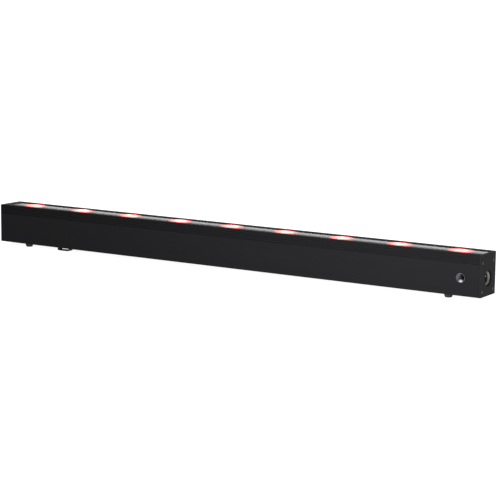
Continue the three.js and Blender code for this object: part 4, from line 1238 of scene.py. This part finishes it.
class BATTEN_OT_control_panel(Operator):
    """Builds the control panel, its display and its screws, and finishes the board behind it"""

    bl_idname = "batten.control_panel"
    bl_label = "Control panel"

    def execute(self, context):
        low, high = span("control_panel")
        centre = middle("control_panel").x
        place = rear_place(centre)
        width, height = high.x - low.x, high.z - low.z
        plate = prism(rounded(rectangle(width, height), 3), PANEL_RISE, PANEL_FRONT)
        corners = rectangle(PANEL_CUTOUT[0] - PLUG_SLACK, PANEL_CUTOUT[1] - PLUG_SLACK)
        plug = prism(rounded(corners, 1), PANEL_BACK, PANEL_RISE + 0.2)
        tools = [prism(display_outline(0, 0.4), PANEL_BACK - 1, PANEL_FRONT + 1)]
        for node in numbered("button", BUTTON_COUNT):
            x = centre - middle(node).x
            tools.append(rod(BUTTON_RADIUS + 0.3, PANEL_BACK - 1, PANEL_FRONT + 1, x))
            ring = lathe([(5, 0), (5.4, 0), (5.4, 1), (5, 1)])
            tools.append(moved(ring, (x, 0, PANEL_FRONT - LINE_DEPTH)))
        outer, inner = display_outline(3.4, 1), display_outline(2.6, 1)
        tools.append(prism(outer, PANEL_FRONT - LINE_DEPTH, PANEL_FRONT + 1, [inner]))
        panel = carved(joined(plate, plug), *tools)
        add_piece("panel", panel, "black_plastic", ["control_panel"], place=place, edge=0.1)

        window = prism(display_outline(-0.6, 0.5), -1.1, PANEL_FRONT - 0.2)
        add_piece("display", window, "smoked_plastic", ["display_window"], place=place, edge=0.15)
        bars = []
        for n, letters in enumerate(FIGURES):
            x = centre - middle("display_window").x + (n - (len(FIGURES) - 1) / 2) * FIGURE_PITCH
            bars += [moved(prism(segment(letter), *SEGMENT_DEPTHS), (x, 0, 0)) for letter in letters]
        add_piece("display_figures", gathered(*bars), "display_segment", place=place)
        finish_node("control_board", "circuit_green")
        self.add_screws(place, width / 2 - 2.2, height / 2 - 2.3)
        return {"FINISHED"}

    def add_screws(self, place, x, y):
        """Four small pan-head screws at the panel's corners."""
        dome = [(0, PANEL_FRONT - 1), (0.8, PANEL_FRONT - 1), (0.8, PANEL_FRONT), (1.5, PANEL_FRONT)]
        dome += arc((0.9, PANEL_FRONT + 0.2), 0.6, 0, 90, 5) + [(0, PANEL_FRONT + 0.8)]
        head = carved(lathe(dome, 32), cross_recess(0.5, 0.9, 0.36, top=PANEL_FRONT + 0.8))
        places = [shifted(place, u, v) for u, v in rectangle(2 * x, 2 * y)]
        add_row(numbered("panel_screw", len(places)), head, "black_steel", places)


class BATTEN_OT_buttons(Operator):
    """Builds the four dished push buttons"""

    bl_idname = "batten.buttons"
    bl_label = "Buttons"

    def execute(self, context):
        low, high = BUTTON_BACK + 0.6, BUTTON_BACK + 1.5
        profile = [(0, BUTTON_BACK), (BUTTON_RADIUS, BUTTON_BACK), (BUTTON_RADIUS, low)]
        profile += [(BUTTON_COLLAR, low), (BUTTON_COLLAR, high), (BUTTON_RADIUS, high)]
        profile += arc((BUTTON_RADIUS - 0.5, BUTTON_TOP - 0.5), 0.5, 0, 90, 5)
        for n in range(6):
            share = 1 - n / 6
            dip = BUTTON_TOP - 0.5 + BUTTON_DISH * share * share
            profile.append(((BUTTON_RADIUS - 0.9) * share, dip))
        cap = lathe([*profile, (0, BUTTON_TOP - 0.5)])
        nodes = numbered("button", BUTTON_COUNT)
        places = [rear_place(middle(node).x) for node in nodes]
        add_row(numbered("button_cap", BUTTON_COUNT), cap, "button_plastic", places, nodes, nodes)
        return {"FINISHED"}


# ---- mains inlet and outlet ----
MAINS_FRONT = 2
MAINS_BACK = -23
INLET_FLANGE = (33, 37)
OUTLET_FLANGE = (33, 27)
INLET_CASE = (28, 32)
OUTLET_CASE = (28, 22)
OUTLET_BACK = -21
SOCKET_SIZE = (24.6, 16.6)
SOCKET_CHAMFER = 4
SOCKET_FLOOR = -13
BLADE_TIP = -1
BLADE_SIZE = (2, 4)
SLOT_SIZE = (2.6, 4.8)
SLOT_FLOOR = -11
LEAF_SIZE = (0.4, 4.2)
LEAF_GAP = 2
SOCKET_RISE = 5.6
DRAWER_DROP = -11.4
DRAWER_SIZE = (22, 8)
DRAWER_BACK = -18
FUSE_DIP = 3.1
FUSE_START = 5
FUSE_ROOM = 7.2
FUSE_CAP = 5


def mains_outline(inset, y):
    """The socket's opening, with two cut corners at the top."""
    w, h = SOCKET_SIZE[0] / 2 - inset, SOCKET_SIZE[1] / 2 - inset
    corners = [(-w, -h), (w, -h), (w, h - SOCKET_CHAMFER), (w - SOCKET_CHAMFER, h)]
    corners += [(SOCKET_CHAMFER - w, h), (-w, h - SOCKET_CHAMFER)]
    return rounded([(u, v + y) for u, v in corners], 1)


def blade_places(y):
    """The three mains contacts' centres: two low and the middle one higher."""
    return [(-7, y - 2), (0, y + 2), (7, y - 2)]


class BATTEN_OT_power_inlet(Operator):
    """Builds the mains inlet with its three blades"""

    bl_idname = "batten.power_inlet"
    bl_label = "Mains inlet"

    def execute(self, context):
        place = rear_place(middle("power_inlet").x)
        flange = prism(rounded(rectangle(*INLET_FLANGE), 2.5), PANEL_RISE, MAINS_FRONT)
        case = prism(rectangle(*INLET_CASE), MAINS_BACK, PANEL_RISE + 0.2)
        opening = prism(mains_outline(0, SOCKET_RISE), SOCKET_FLOOR, MAINS_FRONT + 1)
        width, height = DRAWER_SIZE
        corners = rectangle(width + 0.6, height + 0.6, 0, DRAWER_DROP)
        drawer = prism(corners, DRAWER_BACK - 1, MAINS_FRONT + 1)
        inlet = carved(joined(flange, case), opening, drawer)
        add_piece("mains_inlet", inlet, "black_plastic", ["power_inlet"], place=place, edge=0.3)
        blade = prism(rounded(rectangle(*BLADE_SIZE), 0.2, 2), SOCKET_FLOOR - 0.5, BLADE_TIP)
        places = [shifted(place, x, y) for x, y in blade_places(SOCKET_RISE)]
        add_row(numbered("mains_blade", len(places)), blade, "bright_nickel", places, edge=0.35)
        return {"FINISHED"}


class BATTEN_OT_fuse_drawer(Operator):
    """Builds the fuse drawer and the glass fuse in it"""

    bl_idname = "batten.fuse_drawer"
    bl_label = "Fuse drawer"

    def execute(self, context):
        place = rear_place(middle("fuse_drawer").x)
        w, h = DRAWER_SIZE[0] / 2, DRAWER_SIZE[1] / 2
        base = DRAWER_DROP - h
        tray = block((-w, base, DRAWER_BACK), (w, DRAWER_DROP + h, MAINS_FRONT))
        ledge = block((5 - w, base, MAINS_FRONT - 0.2), (w - 5, base + 2, BUTTON_TOP))
        near = (-w - 1, DRAWER_DROP - FUSE_DIP, DRAWER_BACK + FUSE_START)
        pocket = block(near, (w + 1, DRAWER_DROP + h + 1, near[2] + FUSE_ROOM))
        grip = block((5 - w, base + 2.6, MAINS_FRONT - 0.5), (w - 5, base + 3.2, MAINS_FRONT + 1))
        drawer = carved(joined(tray, ledge), pocket, grip)
        body = "fuse_drawer"
        add_piece("fuse_tray", drawer, "black_plastic", ["fuse_drawer"], body=body, place=place, edge=0.2)

        low, high = span("fuse")
        half, radius = (high.x - low.x) / 2, (high.z - low.z) / 2
        lying = facing((1, 0, 0), middle("fuse"))
        wall = rectangle(0.4, 2 * half - 2, radius - 0.5)
        add_piece("fuse_tube", lathe(wall), "fuse_glass", ["fuse"], body=body, place=lying)
        rim = half - FUSE_CAP
        end = [(0, rim), (radius - 0.2, rim), (radius, rim + 0.2)]
        end += arc((radius - 0.4, half - 0.4), 0.4, 0, 90) + [(0, half)]
        places = [lying, lying @ Matrix.Rotation(math.pi, 4, "Y")]
        add_row(numbered("fuse_cap", 2), lathe(end), "bright_nickel", places, bodies=[body, body])
        wire = rod(0.2, 0.5 - rim, rim - 0.5, sides=12)
        add_piece("fuse_wire", wire, "bright_nickel", body=body, place=lying)
        return {"FINISHED"}


class BATTEN_OT_power_outlet(Operator):
    """Builds the mains link-out socket and its three contacts"""

    bl_idname = "batten.power_outlet"
    bl_label = "Mains outlet"

    def execute(self, context):
        place = rear_place(middle("power_outlet").x)
        flange = prism(rounded(rectangle(*OUTLET_FLANGE), 2.5), PANEL_RISE, MAINS_FRONT)
        case = prism(rectangle(*OUTLET_CASE), OUTLET_BACK, PANEL_RISE + 0.2)
        groove = prism(mains_outline(0, 0), SOCKET_FLOOR, MAINS_FRONT + 1)
        core = prism(mains_outline(2.1, 0), SOCKET_FLOOR - 1, MAINS_FRONT - 0.8)
        slots = []
        for x, y in blade_places(0):
            slots.append(prism(rectangle(*SLOT_SIZE, x, y), SLOT_FLOOR, MAINS_FRONT + 1))
        outlet = carved(joined(carved(joined(flange, case), groove), core), *slots)
        add_piece("mains_outlet", outlet, "black_plastic", ["power_outlet"], place=place, edge=0.3)
        leaf = rounded(rectangle(*LEAF_SIZE), 0.1, 2)
        leaves = [moved(prism(leaf, SLOT_FLOOR + 0.1, MAINS_FRONT - 3), (x, 0, 0)) for x in (0, LEAF_GAP)]
        places = [shifted(place, x - LEAF_GAP / 2, y) for x, y in blade_places(0)]
        add_row(numbered("mains_contact", len(places)), gathered(*leaves), "bright_nickel", places)
        return {"FINISHED"}


class BATTEN_OT_internals(Operator):
    """Finishes the power supply and the wiring loom"""

    bl_idname = "batten.internals"
    bl_label = "Power supply and loom"

    def execute(self, context):
        finish_node("power_supply", "zinc_steel", edge=0.6)
        finish_node("wiring_loom", "wire_sleeve")
        return {"FINISHED"}


# ---- stage ----
CAMERA_PLACE = (1.66236, -2.55969, 0.53186)
CAMERA_YAW = 32.303
CAMERA_PITCH = 9.276
CAMERA_ROLL = 0.611
CAMERA_LENS = 125.94
FLOOR_HALF_WIDTH = 60
FLOOR_SHADE = 0.12
FLOOR_GLOW = 0.93
SKY_GLOW = 0.75
# each lamp's place, what it faces, its size, its power, and whether polished and clear pieces show it
SOFTBOXES = {
    "overhead softbox": ((-0.8, -0.8, 1.8), (0, 0, 0), (2.8, 1.6), 95, True),
    "front softbox": ((0.5, -0.8, 0.18), (0.5, 0, 0), (0.7, 0.4), 38, False),
    "rear softbox": ((0, 1.3, 0.35), (0, 0, 0.04), (1.4, 0.5), 45, False),
}


def softbox(name, place, target, size, watts, shown):
    """A soft rectangular lamp that lights the object but isn't seen by the camera."""
    lamp = bpy.data.lights.new(name, "AREA")
    lamp.shape = "RECTANGLE"
    lamp.size, lamp.size_y = size
    lamp.energy = watts
    made = bpy.data.objects.new(name, lamp)
    bpy.context.scene.collection.objects.link(made)
    made.location = place
    made.rotation_euler = (Vector(target) - Vector(place)).to_track_quat("-Z", "Y").to_euler()
    made.visible_camera = False
    made.visible_glossy = made.visible_transmission = shown


class BATTEN_OT_stage(Operator):
    """Builds the pale floor, the studio light and the camera"""

    bl_idname = "batten.stage"
    bl_label = "Floor, light and camera"

    def execute(self, context):
        scene = context.scene
        scene.view_settings.view_transform = "Standard"
        self.add_floor()
        self.add_world(scene)
        for name, settings in SOFTBOXES.items():
            softbox(name, *settings)
        camera = bpy.data.objects.new("camera", bpy.data.cameras.new("camera"))
        scene.collection.objects.link(camera)
        turn = Matrix.Rotation(math.radians(CAMERA_YAW), 4, "Z")
        tilt = Matrix.Rotation(math.radians(90 - CAMERA_PITCH), 4, "X")
        roll = Matrix.Rotation(math.radians(CAMERA_ROLL), 4, "Z")
        camera.matrix_world = Matrix.Translation(CAMERA_PLACE) @ turn @ tilt @ roll
        camera.data.lens = CAMERA_LENS
        camera.data.clip_start, camera.data.clip_end = 0.05, 200
        scene.camera = camera
        return {"FINISHED"}

    def add_floor(self):
        """A wide matt white floor, open when seen from below."""
        shape = bmesh.new()
        bmesh.ops.create_grid(shape, x_segments=1, y_segments=1, size=FLOOR_HALF_WIDTH)
        mesh = bpy.data.meshes.new("floor")
        shape.to_mesh(mesh)
        shape.free()
        floor = bpy.data.objects.new("floor", mesh)
        bpy.context.scene.collection.objects.link(floor)
        made, tree, shader = new_material(
            "Matt white sweep", base_color=(FLOOR_SHADE,) * 3, roughness=0.9,
            emission_color=(1, 1, 1), emission_strength=FLOOR_GLOW,
        )
        under = add_node(tree, "ShaderNodeNewGeometry").outputs["Backfacing"]
        mix_surface(tree, under, shader, add_node(tree, "ShaderNodeBsdfTransparent").outputs["BSDF"])
        mesh.materials.append(made)

    def add_world(self, scene):
        """An even white sky all round."""
        world = bpy.data.worlds.new("studio")
        world.use_nodes = True
        sky = world.node_tree.nodes["Background"]
        sky.inputs["Color"].default_value = (1, 1, 1, 1)
        sky.inputs["Strength"].default_value = SKY_GLOW
        scene.world = world


# ---- sidebar panel and registration ----
OPERATORS = (
    BATTEN_OT_housing,
    BATTEN_OT_end_plates,
    BATTEN_OT_end_screws,
    BATTEN_OT_data_input,
    BATTEN_OT_data_output,
    BATTEN_OT_led_board,
    BATTEN_OT_lenses,
    BATTEN_OT_cover,
    BATTEN_OT_feet,
    BATTEN_OT_safety_loop,
    BATTEN_OT_bracket_inserts,
    BATTEN_OT_eye,
    BATTEN_OT_control_panel,
    BATTEN_OT_buttons,
    BATTEN_OT_power_inlet,
    BATTEN_OT_fuse_drawer,
    BATTEN_OT_power_outlet,
    BATTEN_OT_internals,
    BATTEN_OT_stage,
)


class BATTEN_PT_pieces(Panel):
    """Lists the batten's sizes, colours and pieces"""

    bl_idname = "BATTEN_PT_pieces"
    bl_label = "LED strip batten"
    bl_space_type = "VIEW_3D"
    bl_region_type = "UI"
    bl_category = "Batten"

    def draw(self, context):
        for group in (context.scene.batten_sizes, context.scene.batten_colours):
            for key in group.__annotations__:
                self.layout.prop(group, key)
        for operator in OPERATORS:
            self.layout.operator(operator.bl_idname)


CLASSES = (BattenSizes, BattenColours, *OPERATORS, BATTEN_PT_pieces)


def register():
    for item in CLASSES:
        bpy.utils.register_class(item)
    bpy.types.Scene.batten_sizes = PointerProperty(type=BattenSizes)
    bpy.types.Scene.batten_colours = PointerProperty(type=BattenColours)


def unregister():
    del bpy.types.Scene.batten_colours
    del bpy.types.Scene.batten_sizes
    for item in reversed(CLASSES):
        bpy.utils.unregister_class(item)


def main():
    register()
    for operator in OPERATORS:
        group, name = operator.bl_idname.split(".")
        getattr(getattr(bpy.ops, group), name)()


if __name__ == "__main__":
    main()
